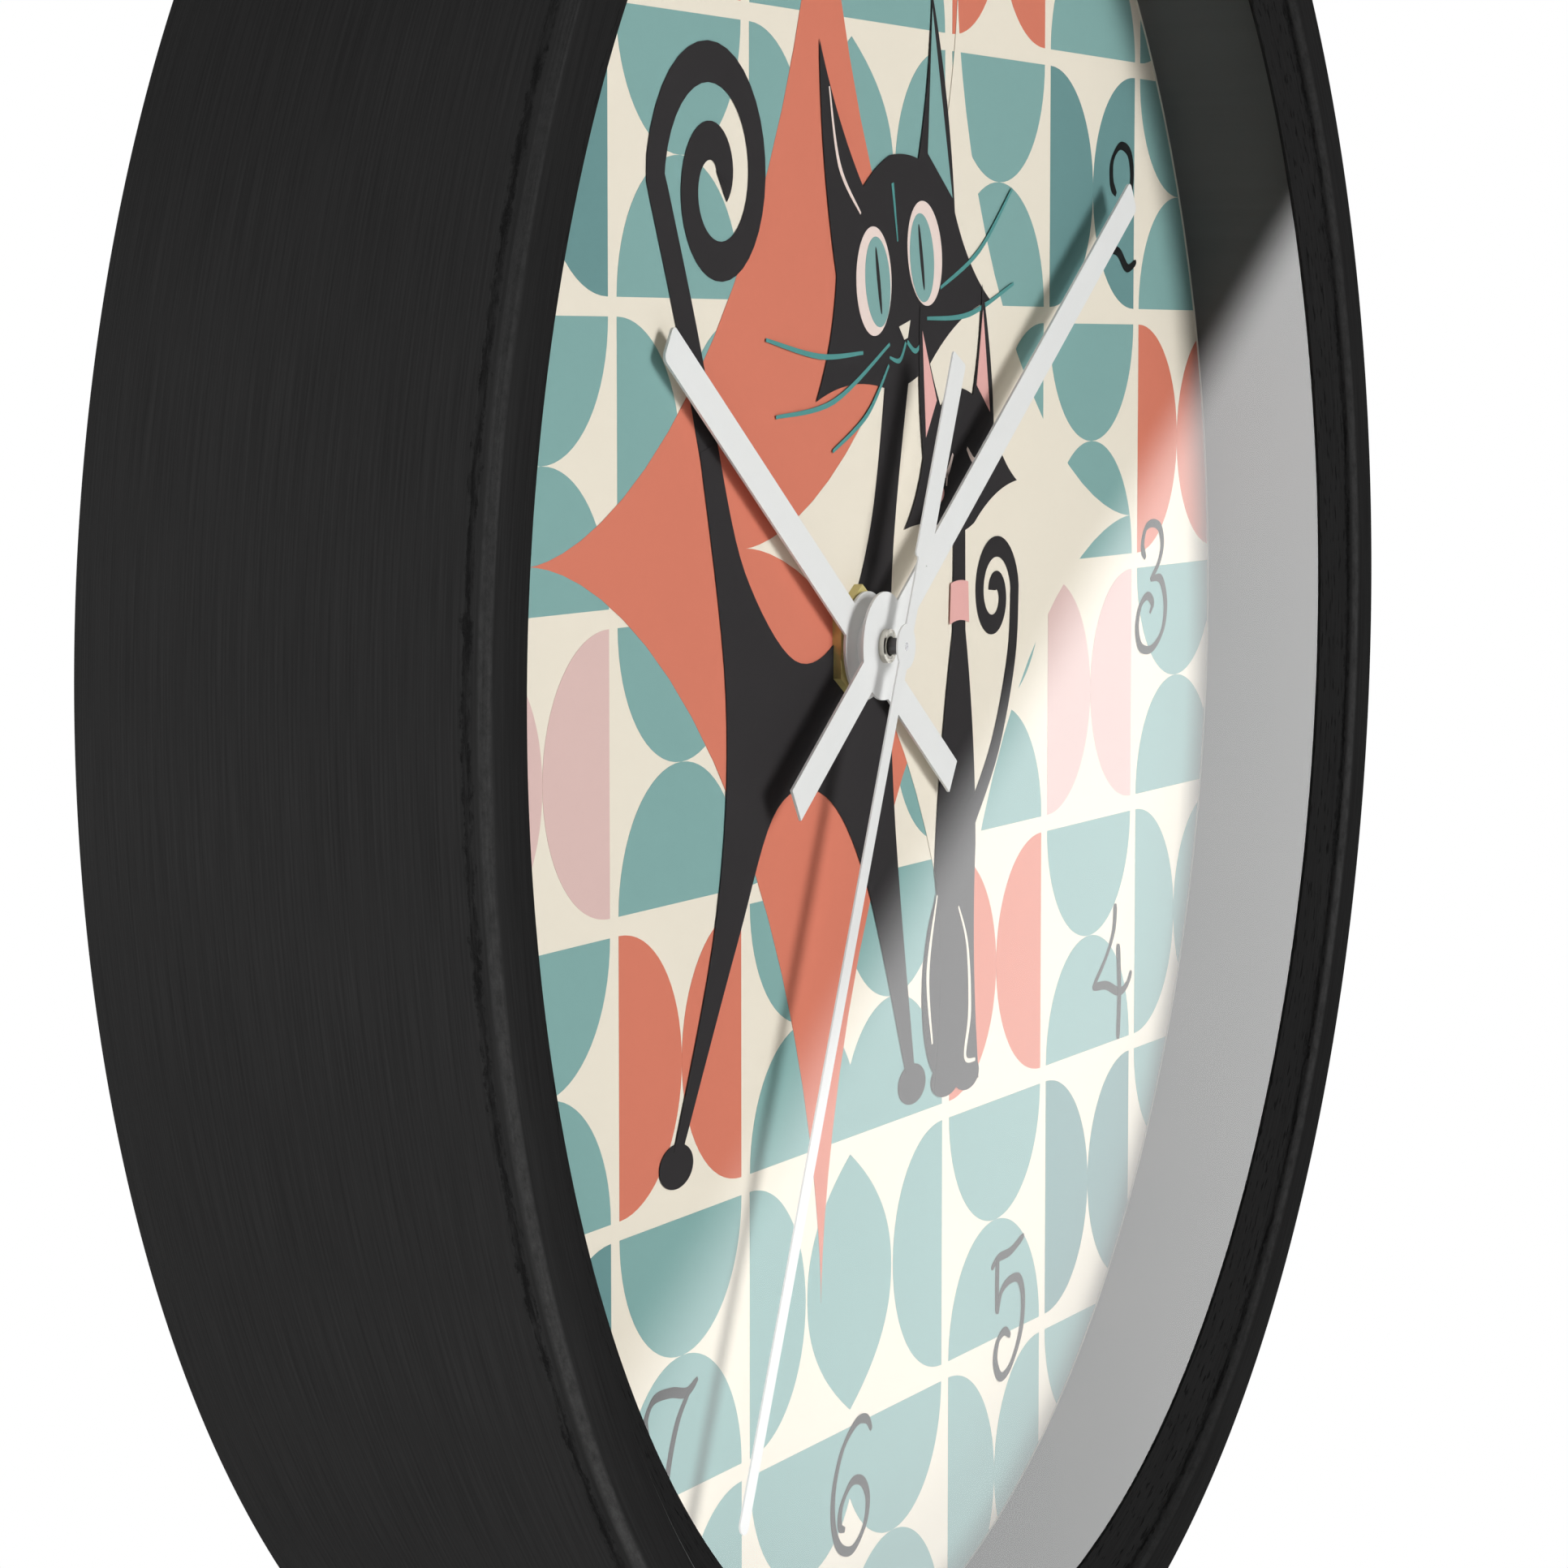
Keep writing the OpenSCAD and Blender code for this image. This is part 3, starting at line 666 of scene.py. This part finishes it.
def mirrored(half):
    """Closed outline of arcs from its right half, top to bottom, with both ends on the middle line."""
    back = [(-x, z, bulge) for (x, z, _), (_, _, bulge) in zip(reversed(half[1:]), reversed(half[:-1]))]
    return arcs(half[:-1] + back)


def tapered(w0, w1, w2):
    """Width that runs from w0 over w1 in the middle to w2."""
    def width(t, _):
        return w0 + (w1 - w0) * t * 2 if t < 0.5 else w1 + (w2 - w1) * (t * 2 - 1)
    return width


# Where each head stands (x, z) and how far it is turned, in degrees
TALL_HEAD = (12.4, 43.4, 13)
SMALL_HEAD = (30.6, 21.0, 8)


def tall_cat(ink, white, blush, teal, whisker):
    """The standing cat: long arched body on two thin legs, round curled tail, pointed head."""
    back = smooth([(-36.4, 23.5), (-29.5, 9.5), (-16.5, -0.8), (-4.2, 1.4), (4.6, 13.5), (9.4, 34)])
    chest = smooth([(16.4, 34), (10.6, 8), (11.2, -18), (17.6, -51)])
    arch = smooth([(15.0, -51), (3.4, -27.5), (-8.0, -16.6), (-21.0, -16.8), (-31.4, -30.5), (-45.0, -51)])
    flank = smooth([(-47.2, -51), (-36.6, -27), (-34.2, -4), (-40.6, 22.5)])
    body = back + chest + arch + flank
    rise = smooth([(-31.4, 2.0), (-34.4, 12.0), (-38.5, 23.0), (-43.4, 35), (-51.0, 51)], 6)
    coil = spiral(-36.6, 51.0, 14.6, 1.6, 182, -560)
    tail = ribbon(rise + coil[1:], lambda t, _: 4.6 - 0.6 * t)
    feet = [oval(-46.6, -52.6, 4.1, 2.4), oval(16.9, -52.6, 4.1, 2.4)]
    half = [(0, 12.4, -0.08), (8.2, 10.4, 0.08), (16.4, 28.5, -0.08), (17.6, 2.2, 0.14), (26.2, -10.2, 0.12),
            (6.5, -13.4, -0.05), (0, -14.2, 0)]
    head = placed(mirrored(half), *TALL_HEAD)
    inked("cat_tall_tail", tail, ink, 4)
    inked("cat_tall_feet", feet, ink, 5)
    inked("cat_tall_body", [body], ink, 6)
    inked("cat_tall_head", [head], ink, 7)
    inked("cat_tall_ear", [placed([(11.0, 10.5), (16.0, 26.6), (17.2, 4.0)], *TALL_HEAD)], teal, 8)
    inked("cat_tall_ear_line", ribbon(placed(smooth([(-15.0, 23), (-14.2, 14), (-9.6, 7.6)]), *TALL_HEAD),
                                      tapered(0.3, 0.7, 0.3)), blush, 8)
    eyes = [placed(oval(side * 7.6, -0.6, 5.0, 6.2, side * 8), *TALL_HEAD) for side in (-1, 1)]
    inked("cat_tall_eyes", eyes, blush, 8)
    irises = [placed(oval(side * 6.6, -0.9, 3.5, 5.2, 0), *TALL_HEAD) for side in (-1, 1)]
    inked("cat_tall_irises", irises, teal, 9)
    slits = [placed(oval(side * 6.4, -0.8, 0.42, 3.9, 0), *TALL_HEAD) for side in (-1, 1)]
    inked("cat_tall_slits", slits, ink, 10)
    nose = placed([(-1.7, -7.2), (1.7, -7.2), (0.5, -9.0), (-0.5, -9.0)], *TALL_HEAD)
    inked("cat_tall_nose", [nose], white, 8)
    lines = []
    for side in (-1, 1):
        mouth = [(side * 0.2, -9.4), (side * 2.4, -11.0), (side * 5.2, -10.0)]
        lines += ribbon(placed(smooth(mouth), *TALL_HEAD), tapered(0.5, 0.6, 0.3))
    lines += ribbon(placed([(0, 9.2), (0, 2.4)], *TALL_HEAD), tapered(0.7, 0.5, 0.3))
    for hair in ([(-24.2, 34.4), (-10.0, 32.6), (2.0, 33.0)], [(-21.6, 26.0), (-6.0, 27.6), (9.6, 34.0)],
                 [(-6.4, 22.0), (3.2, 26.0), (9.4, 31.6)], [(24.6, 40.6), (36.6, 45.2), (47.0, 52.8)],
                 [(20.6, 37.0), (33.6, 37.6), (47.6, 41.4)]):
        lines += ribbon(smooth(hair), tapered(0.4, 0.65, 0.4))
    inked("cat_tall_whiskers", lines, whisker, 9)


def small_cat(ink, blush, rose, cream):
    """The sitting cat: slim neck and body, curled tail, closed eyes and a collar."""
    body = arcs([
        (29.0, 16, 0.0), (32.4, 16, 0.0), (32.6, 0, -0.06), (36.0, -26, 0.06), (36.6, -50, 0.0),
        (37.2, -54.6, 0.0), (23.4, -54.6, 0.0), (24.6, -48, 0.12), (23.4, -28, -0.05), (28.7, 0, 0.0)])
    feet = [oval(27.0, -53.4, 4.4, 2.1), oval(33.6, -53.6, 3.9, 2.0)]
    haunch = oval(26.6, -41.5, 6.6, 11.6, -6)
    rise = smooth([(35.2, -22.5), (42.5, -14.5), (47.6, -4.0), (48.6, 4.5)], 6)
    coil = spiral(42.0, 3.9, 6.7, 0.9, 5, 500)
    tail = ribbon(rise + coil[1:], lambda t, _: 2.7 - 0.5 * t)
    half = [(0, 8.0, -0.08), (5.0, 6.4, 0.08), (9.6, 19.0, -0.08), (11.0, 1.4, 0.14), (17.6, -6.0, 0.12),
            (3.4, -8.8, -0.05), (0, -9.2, 0)]
    head = placed(mirrored(half), *SMALL_HEAD)
    parts = (("tail", tail), ("feet", feet), ("haunch", [haunch]), ("body", [body]), ("head", [head]))
    for k, (part, shapes) in enumerate(parts):
        inked("cat_small_" + part, shapes, ink, 6 + k)
    inked("cat_small_ear", [placed([(-6.2, 7.4), (-9.4, 16.0), (-10.0, 3.6)], *SMALL_HEAD),
                            placed([(6.2, 7.4), (9.4, 16.0), (10.0, 3.6)], *SMALL_HEAD)], rose, 11)
    lines = []
    for side in (-1, 1):
        lid = [(side * 2.2, 0.4), (side * 4.6, -1.6), (side * 7.6, 0.2)]
        lines += ribbon(placed(smooth(lid), *SMALL_HEAD), tapered(0.4, 0.9, 0.4))
        for k, reach in enumerate((1.5, 2.0, 2.2)):
            x0 = side * (4.2 + 1.6 * k)
            lash = [(x0, -1.5 + 0.7 * k), (x0 + side * 0.8 * (k + 1) * 0.6, -1.5 + 0.7 * k - reach)]
            lines += ribbon(placed(lash, *SMALL_HEAD), tapered(0.5, 0.4, 0.2))
    inked("cat_small_lids", lines, blush, 12)
    cheeks = [placed(oval(side * 7.2, -3.6, 1.8, 1.1), *SMALL_HEAD) for side in (-1, 1)]
    smile = placed(smooth([(-2.6, -5.6), (0, -6.9), (2.6, -5.6)]), *SMALL_HEAD)
    mouth = ribbon(smile, tapered(0.4, 0.7, 0.4))
    inked("cat_small_blush", [*cheeks, *mouth], rose, 11)
    collar = arcs([(27.9, 5.8, -0.1), (33.3, 5.8, 0), (33.6, 0.9, 0.14), (27.6, 0.9, 0)])
    inked("cat_small_collar", [collar], rose, 11)
    leg = ribbon(smooth([(30.6, -33), (33.4, -38), (34.2, -46), (32.8, -51.4), (36.0, -52.2)]),
                 tapered(0.3, 0.9, 0.4))
    rump = ribbon(smooth([(24.0, -31), (21.2, -40), (22.6, -48.6)]), tapered(0.3, 0.9, 0.4))
    inked("cat_small_outline", [*leg, *rump], cream, 11)


def nib(t, way):
    """Width of a broad pen held at 40 degrees, tapering at both ends of a stroke."""
    ends = min(1.0, 6 * min(t, 1 - t) + 0.5)
    return (0.68 + 0.62 * abs(math.sin(way - math.radians(40)))) * ends


# Pen strokes of each digit, about its middle, in a figure about 17 mm high
DIGITS = {
    "0": [[(0.6, 8.2), (-2.8, 5.4), (-4.0, -0.4), (-2.8, -6.4), (0.2, -8.4), (3.0, -5.6), (4.0, 0.4),
           (2.6, 6.2),
           (0.2, 7.9)]],
    "1": [[(-2.4, 4.6), (0.6, 8.4)], [(0.6, 8.4), (0.2, 0), (-0.2, -8.6)]],
    "2": [[(-1.8, 2.4), (-3.3, 3.8), (-3.2, 6.6), (-0.4, 8.6), (3.0, 7.8), (4.0, 4.6), (2.4, 0.6),
           (-3.2, -4.4)],
          [(-3.4, -4.6), (-0.6, -5.0), (2.4, -6.9), (5.6, -6.0)]],
    "3": [[(-3.2, 4.4), (-4.3, 6.0), (-3.2, 8.2), (-0.6, 8.9), (2.2, 8.2), (3.2, 6.0), (1.9, 3.6),
           (-1.2, 1.5)],
          [(-1.2, 1.5), (2.6, 1.4), (4.5, -1.8), (3.4, -5.4), (-0.6, -7.6), (-4.8, -7.2), (-6.2, -4.6),
           (-5.0, -1.8), (-2.4, -0.6), (-0.5, -1.6), (-1.4, -2.9)]],
    "4": [[(-0.4, 8.9), (-1.0, 5.4), (-3.8, 2.2), (-8.5, -1.2)],
          [(-8.5, -1.2), (-3.8, -1.4), (1.0, -2.8), (4.0, -2.2), (5.6, -0.6)], [(0.6, 3.5), (1.1, -2.6),
           (0.7, -9.0)]],
    "5": [[(-6.9, 4.0), (-4.6, 5.0), (-0.6, 5.2), (3.8, 6.5)], [(-5.0, 4.9), (-5.1, 1.4), (-5.0, -1.9)],
          [(-5.0, -1.9), (-3.9, 0.5), (-1.2, 1.6), (2.1, 1.3), (3.5, -1.4), (2.7, -5.6), (-0.6, -9.2),
           (-3.9, -10.0),
           (-5.6, -7.8), (-4.8, -5.4), (-2.6, -4.5), (-0.8, -5.4)]],
    "6": [[(5.2, 4.8), (3.8, 6.3), (0.8, 6.4), (-3.1, 4.0), (-5.5, -0.2), (-5.6, -4.2), (-3.8, -7.2),
           (-0.2, -8.2),
           (3.2, -6.2), (4.2, -3.1), (2.6, -0.8), (-0.4, -0.3), (-3.3, -2.4), (-3.8, -4.7), (-2.4, -5.4)]],
    "7": [[(-4.6, 2.5), (-5.0, 4.6), (-3.0, 6.5), (1.0, 6.5), (4.9, 5.8), (7.6, 6.8)],
          [(5.7, 6.0), (2.6, 3.0), (0.3, -1.8), (-0.6, -6.4), (-1.0, -9.0)]],
    "8": [[(0.4, 0.4), (-3.2, 3.4), (-2.8, 6.8), (0.4, 8.6), (3.4, 6.6), (2.4, 3.0), (-1.8, -0.6),
           (-4.2, -4.2),
           (-2.4, -8.0), (1.4, -8.4), (3.9, -5.2), (3.0, -1.6), (0.6, 0.2)]],
    "9": [[(-4.6, -5.6), (-3.4, -6.8), (-0.6, -6.4), (3.0, -3.6), (5.0, 0.8), (4.8, 4.8), (2.6, 7.6),
           (-0.6, 8.2),
           (-3.8, 6.2), (-4.4, 3.2), (-2.6, 0.8), (0.6, 0.6), (3.2, 2.6)]],
}


NUMERAL_R = 98
NUMERAL_RISE = 1.8
DIGIT_PITCH = 8.6


def numerals(ink):
    """Twelve numbers, upright, on a circle. Crossing strokes of a figure lie one over the other."""
    strokes = ([], [], [])
    for hour in range(1, 13):
        a = math.radians(hour * 30)
        cx, cz = NUMERAL_R * math.sin(a), NUMERAL_R * math.cos(a) + NUMERAL_RISE
        text = str(hour)
        for k, digit in enumerate(text):
            shift = (k - (len(text) - 1) / 2) * DIGIT_PITCH
            for turn, stroke in enumerate(DIGITS[digit]):
                path = [(cx + shift + x, cz + z) for x, z in smooth(stroke)]
                strokes[turn].extend(ribbon(path, nib))
    for turn, quads in enumerate(strokes):
        inked("numerals_" + str(turn), quads, ink, 4 + turn, trim=False)


def dial_art():
    art = tiles()
    teal = print_ink("ink_teal", TEAL)
    dark = print_ink("ink_dark_teal", DARK_TEAL)
    coral = print_ink("ink_coral", CORAL)
    pink = print_ink("ink_pink", PINK)
    cream = print_ink("ink_cream", CREAM)
    ink = print_ink("ink_black", INK)
    blush = print_ink("ink_blush", BLUSH)
    rose = print_ink("ink_rose", ROSE)
    whisker = print_ink("ink_whisker", WHISKER)
    for name, material in (("teal", teal), ("dark", dark), ("coral", coral), ("pink", pink)):
        inked("tiles_" + name, art[name], material, 1)
    inked("star_coral", [star(-9, 12, 70.5, 86)], coral, 2)
    inked("star_cream", [star(30, 12, 59, 64)], cream, 3)
    tall_cat(ink, cream, blush, teal, whisker)
    small_cat(ink, blush, rose, cream)
    numerals(print_ink("ink_numeral", NUMERAL))


# ---------------------------------------------------------------- the hoop

# Millimetres, except BEAD_END, which is the angle in degrees that the bead turns through
OPENING_R = 114.0
BEAD_R = 4.1
BEAD_END = 150
SEAT = 4.4
LIP_EDGE = 0.4
CHAMFER = 0.25
SEAT_RUN = 7.4
REBATE_R = 121.0
# Places across the front, measured along the surface from where the bead meets the outer wall
EDGE_OUTER = BEAD_R * math.radians(11) * MM
EDGE_BEVEL = BEAD_R * math.radians(BEAD_END) * MM


def hoop_profile():
    """(radius, depth, place) round the hoop's section in mm, from the rear of the outer wall forwards."""
    outer = HOOP_R / MM
    depth = (REAR_Y - FRONT_Y) / MM
    points = [(outer - CHAMFER, depth, -depth), (outer, depth - CHAMFER, -depth + CHAMFER)]
    for k in range(1, 9):
        d = depth - CHAMFER - (depth - CHAMFER - BEAD_R) * k / 8
        points.append((outer, d, BEAD_R - d))
    for k in range(1, 31):
        a = math.radians(BEAD_END) * k / 30
        points.append((outer - BEAD_R + BEAD_R * math.cos(a), BEAD_R - BEAD_R * math.sin(a), BEAD_R * a))
    r0, d0, end = points[-1]
    slope = math.hypot(r0 - OPENING_R, SEAT - LIP_EDGE - d0)
    for k in range(1, 7):
        t = k / 6
        points.append((r0 + (OPENING_R - r0) * t, d0 + (SEAT - LIP_EDGE - d0) * t, end + slope * t))
    end += slope
    points.append((OPENING_R, SEAT, end + LIP_EDGE))
    points.append((REBATE_R, SEAT, end + SEAT_RUN))
    for k in range(1, 7):
        points.append((REBATE_R, SEAT + (depth - SEAT) * k / 6, end + SEAT_RUN + (depth - SEAT) * k / 6))
    return points


def hoop(material):
    """The wooden hoop as one turned piece, with the place along its profile in a UV map."""
    profile = hoop_profile()
    turns = 512
    mesh = bpy.data.meshes.new("hoop")
    bm = bmesh.new()
    uv = bm.loops.layers.uv.new("profile")
    rings = []
    for i in range(turns):
        a = 2 * math.pi * i / turns + math.pi / 2
        rings.append([bm.verts.new((r * MM * math.cos(a), FRONT_Y + d * MM, r * MM * math.sin(a)))
                      for r, d, _ in profile])
    count = len(profile)
    for i in range(turns):
        for k in range(count):
            k2 = (k + 1) % count
            i2 = (i + 1) % turns
            face = bm.faces.new((rings[i][k], rings[i][k2], rings[i2][k2], rings[i2][k]))
            face.smooth = True
            v0, v1 = profile[k][2] * MM, profile[k2][2] * MM
            if k2 == 0:
                v1 = v0 + (HOOP_R - REBATE_R * MM)
            u0, u1 = HOOP_R * 2 * math.pi * i / turns, HOOP_R * 2 * math.pi * (i + 1) / turns
            for loop, value in zip(face.loops, ((u0, v0), (u0, v1), (u1, v1), (u1, v0))):
                loop[uv].uv = value
    bmesh.ops.recalc_face_normals(bm, faces=bm.faces[:])
    bm.to_mesh(mesh)
    bm.free()
    mesh.materials.append(material)
    piece = bpy.data.objects.new("hoop", mesh)
    bpy.context.collection.objects.link(piece)
    edges = piece.modifiers.new("edges", "EDGE_SPLIT")
    edges.split_angle = math.radians(35)
    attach(piece, ROOT)
    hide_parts("frame_ring")
    piece.visible_glossy = False


# ---------------------------------------------------------------- materials of the CAD nodes


def dress(material, *nodes):
    """Gives CAD nodes a material."""
    for name in nodes:
        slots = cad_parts[name].data.materials
        if len(slots):
            for i in range(len(slots)):
                slots[i] = material
        else:
            slots.append(material)


def dress_nodes():
    dress(glass(), "lens")
    dress(black_card(), "spacer_ring", "frame_ring")
    dress(print_ink("paper_cream", CREAM), "dial_print")
    dress(fibreboard(), "dial_board")
    dress(zinc(), "hanger_plate")
    dress(brushed("clip_steel", (176, 176, 178), (900, 200, 900)), "dial_clips")
    dress(brushed("screw_steel", (190, 190, 192), (1200, 400, 1200), rough=(0.2, 0.34)),
          "clip_screws", "bridge_screws", "coil_screws", "second_arbor")
    dress(moulded("washer_rubber", (24, 24, 24), rough=(0.75, 0.9), texture=0.03 * MM, scale=900),
          "rubber_washer")
    dress(turned_brass(), "threaded_bush", "hex_nut")
    dress(brushed("tube_steel", (96, 96, 98), (300, 2200, 300), rough=(0.3, 0.4)), "second_hand_tube")
    # The hands' glow is painted light that keeps them pale in shade: faint on the hour hand, strongest on the
    # slim second hand
    dress(hand_paint("hour_hand_paint", (226, 226, 225), 0.06), "hour_hand")
    dress(hand_paint("minute_hand_paint", (215, 215, 214), 0.18), "minute_hand")
    dress(hand_paint("slim_hand_paint", (166, 166, 165), 1.1), "second_hand")
    dress(brushed("nickel", (206, 202, 192), (500, 1500, 500), rough=(0.1, 0.22), spread=0.06),
          "minute_nut", "quartz_crystal", "contact_plus", "contact_minus", "battery_can")
    dress(moulded("case_plastic", (30, 30, 31)), "case_front", "case_back", "setting_knob")
    dress(moulded("acetal", (226, 222, 206), rough=(0.3, 0.42), texture=0.006 * MM),
          "middle_plate", "gear_bridge", "hour_wheel", "minute_pipe", "motion_wheel", "centre_wheel",
          "third_wheel", "second_wheel", "intermediate_wheel", "rotor_pinion", "coil_bobbin", "setting_shaft")
    dress(moulded("ferrite", (58, 58, 61), rough=(0.4, 0.6)), "rotor_magnet")
    dress(brushed("core_steel", (160, 162, 166), (200, 900, 1600), rough=(0.3, 0.5)), "stator", "coil_core")
    dress(wound_wire(), "coil_winding")
    dress(circuit(), "circuit_board")
    dress(moulded("potting", (14, 14, 14), rough=(0.18, 0.3), texture=0.004 * MM), "chip_cover")
    dress(battery_film(), "battery_sleeve")


# ---------------------------------------------------------------- floor, light and camera


def floor():
    """A plain pale floor under the clock."""
    bpy.ops.mesh.primitive_circle_add(vertices=128, radius=1.2, fill_type="NGON", location=(0, 0, -0.42))
    plate = bpy.context.object
    plate.name = "floor"
    g = speckled("pale_floor", (244, 243, 241), 60, 0.01, (0.7, 0.8))
    plate.data.materials.append(g.material)


def area_light(name, place, size, power):
    """A square soft light pointing at the middle of the clock."""
    data = bpy.data.lights.new(name, "AREA")
    data.shape = "SQUARE"
    data.size = size
    data.energy = power
    lamp = bpy.data.objects.new(name, data)
    bpy.context.collection.objects.link(lamp)
    lamp.location = place
    way = Vector((0, 0, 0)) - Vector(place)
    lamp.rotation_mode = "QUATERNION"
    lamp.rotation_quaternion = way.to_track_quat("-Z", "Y")
    lamp.visible_camera = False
    return lamp


def studio():
    """White surroundings for the camera. Their light is dim, and comes from the front and the left."""
    world = bpy.data.worlds.new("studio")
    bpy.context.scene.world = world
    world.use_nodes = True
    tree = world.node_tree
    tree.nodes.clear()
    link = tree.links.new

    def share(socket, dark_end, light_end, dark, light):
        made = tree.nodes.new("ShaderNodeMapRange")
        made.interpolation_type = "SMOOTHSTEP"
        values = (("From Min", dark_end), ("From Max", light_end), ("To Min", dark), ("To Max", light))
        for key, value in values:
            made.inputs[key].default_value = value
        link(socket, made.inputs["Value"])
        return made.outputs["Result"]

    out = tree.nodes.new("ShaderNodeOutputWorld")
    where = tree.nodes.new("ShaderNodeTexCoord")
    apart = tree.nodes.new("ShaderNodeSeparateXYZ")
    link(where.outputs["Generated"], apart.inputs["Vector"])
    left = share(apart.outputs["X"], 0.5, -0.9, 0.02, 0.055)
    front = share(apart.outputs["Y"], 0.5, -0.5, 0.15, 1.0)
    both = tree.nodes.new("ShaderNodeMath")
    both.operation = "MULTIPLY"
    link(left, both.inputs[0])
    link(front, both.inputs[1])
    dome = tree.nodes.new("ShaderNodeBackground")
    white = tree.nodes.new("ShaderNodeBackground")
    for shade_node in (dome, white):
        shade_node.inputs["Color"].default_value = (1, 1, 1, 1)
    link(both.outputs[0], dome.inputs["Strength"])
    ray = tree.nodes.new("ShaderNodeLightPath")
    choose = tree.nodes.new("ShaderNodeMixShader")
    link(ray.outputs["Is Camera Ray"], choose.inputs["Fac"])
    link(dome.outputs[0], choose.inputs[1])
    link(white.outputs[0], choose.inputs[2])
    link(choose.outputs[0], out.inputs["Surface"])


# The view: where the camera stands, and how it is turned
CAMERA_PLACE = (-0.4987, -0.2194, 0.0330)
CAMERA_YAW = 65.433
CAMERA_PITCH = -5.121
CAMERA_LENS = 110.44

# The panel that the lens mirrors: its direction from the lens, its distance and its leading edge
PANEL_WAY = Vector((0.905, -0.414, -0.09)).normalized()
PANEL_DISTANCE = 1.5
PANEL_SHIFT = (-0.0555, -0.019)
PANEL_SIZE = (0.72, 1.3)
PANEL_SLANT = (0.504, 0.863)
PANEL_GLOW = 4.1


def mirrored_panel():
    """Panel whose edge shows across the lens as a soft slanting line."""
    u = PANEL_WAY.cross(Vector((0, 0, 1))).normalized()
    v = u.cross(PANEL_WAY)
    across, down = PANEL_SLANT
    along = (u * across - v * down).normalized()
    inward = (-u * down - v * across).normalized()
    edge = PANEL_WAY * PANEL_DISTANCE + u * PANEL_SHIFT[0] + v * PANEL_SHIFT[1]
    width, height = PANEL_SIZE
    centre = edge + inward * (width / 2 - 0.03)
    panel = glow_panel("mirror_panel", centre, inward, along, width, height, PANEL_GLOW)
    panel.visible_diffuse = False
    panel.visible_camera = False


def glow_panel(name, centre, across, along, width, height, strength):
    """A glowing panel with one soft leading edge, set by its own directions."""
    mesh = bpy.data.meshes.new(name)
    corners = [centre + across * (width * a) + along * (height * b)
               for a, b in ((-0.5, -0.5), (0.5, -0.5), (0.5, 0.5), (-0.5, 0.5))]
    mesh.from_pydata([tuple(c) for c in corners], [], [(0, 1, 2, 3)])
    uv = mesh.uv_layers.new(name="panel")
    for loop, value in zip(uv.data, ((0, 0), (1, 0), (1, 1), (0, 1))):
        loop.uv = value
    panel = bpy.data.objects.new(name, mesh)
    bpy.context.collection.objects.link(panel)
    g = Graph(name + "_glow")
    g.tree.nodes.remove(g.shader)
    place = g.node("ShaderNodeUVMap", uv_map="panel")
    apart = g.node("ShaderNodeSeparateXYZ")
    g.link(place, "UV", apart, "Vector")
    reach = g.ramp(apart, "Y", 0.0, 1.0, 0.014, 0.072)
    share = g.math("DIVIDE", (apart, "X"), (reach, "Result"))
    fade = g.ramp(share, 0, 0.0, 1.0)
    fade.interpolation_type = "SMOOTHSTEP"
    glow = g.node("ShaderNodeEmission")
    g.link(g.math("MULTIPLY", (fade, "Result"), strength), 0, glow, "Strength")
    g.link(glow, 0, g.output, "Surface")
    mesh.materials.append(g.material)
    return panel


def lights():
    studio()
    mirrored_panel()
    area_light("key", (0.0, -1.35, 0.22), 0.66, 15.4)
    area_light("second", (0.78, -1.15, 0.25), 0.4, 0.7)
    shoulder = area_light("shoulder", (-0.87, -1.1, -0.1), 0.3, 0.75)
    shoulder.visible_diffuse = False
    area_light("side", (-1.35, 0.35, 0.05), 0.8, 22)
    area_light("back", (0.4, 1.3, 0.7), 0.8, 12)


def camera():
    data = bpy.data.cameras.new("view")
    data.lens = CAMERA_LENS
    data.sensor_width = 36
    data.clip_start = 0.01
    data.clip_end = 50
    cam = bpy.data.objects.new("view", data)
    bpy.context.collection.objects.link(cam)
    cam.location = CAMERA_PLACE
    yaw, pitch = math.radians(CAMERA_YAW), math.radians(CAMERA_PITCH)
    way = Vector((math.sin(yaw) * math.cos(pitch), math.cos(yaw) * math.cos(pitch), math.sin(pitch)))
    cam.rotation_mode = "QUATERNION"
    cam.rotation_quaternion = way.to_track_quat("-Z", "Y")
    bpy.context.scene.camera = cam


def main():
    scene = bpy.context.scene
    scene.view_settings.view_transform = "Standard"
    camera()
    lights()
    floor()
    dress_nodes()
    hoop(lacquered_wood())
    dial_art()


main()
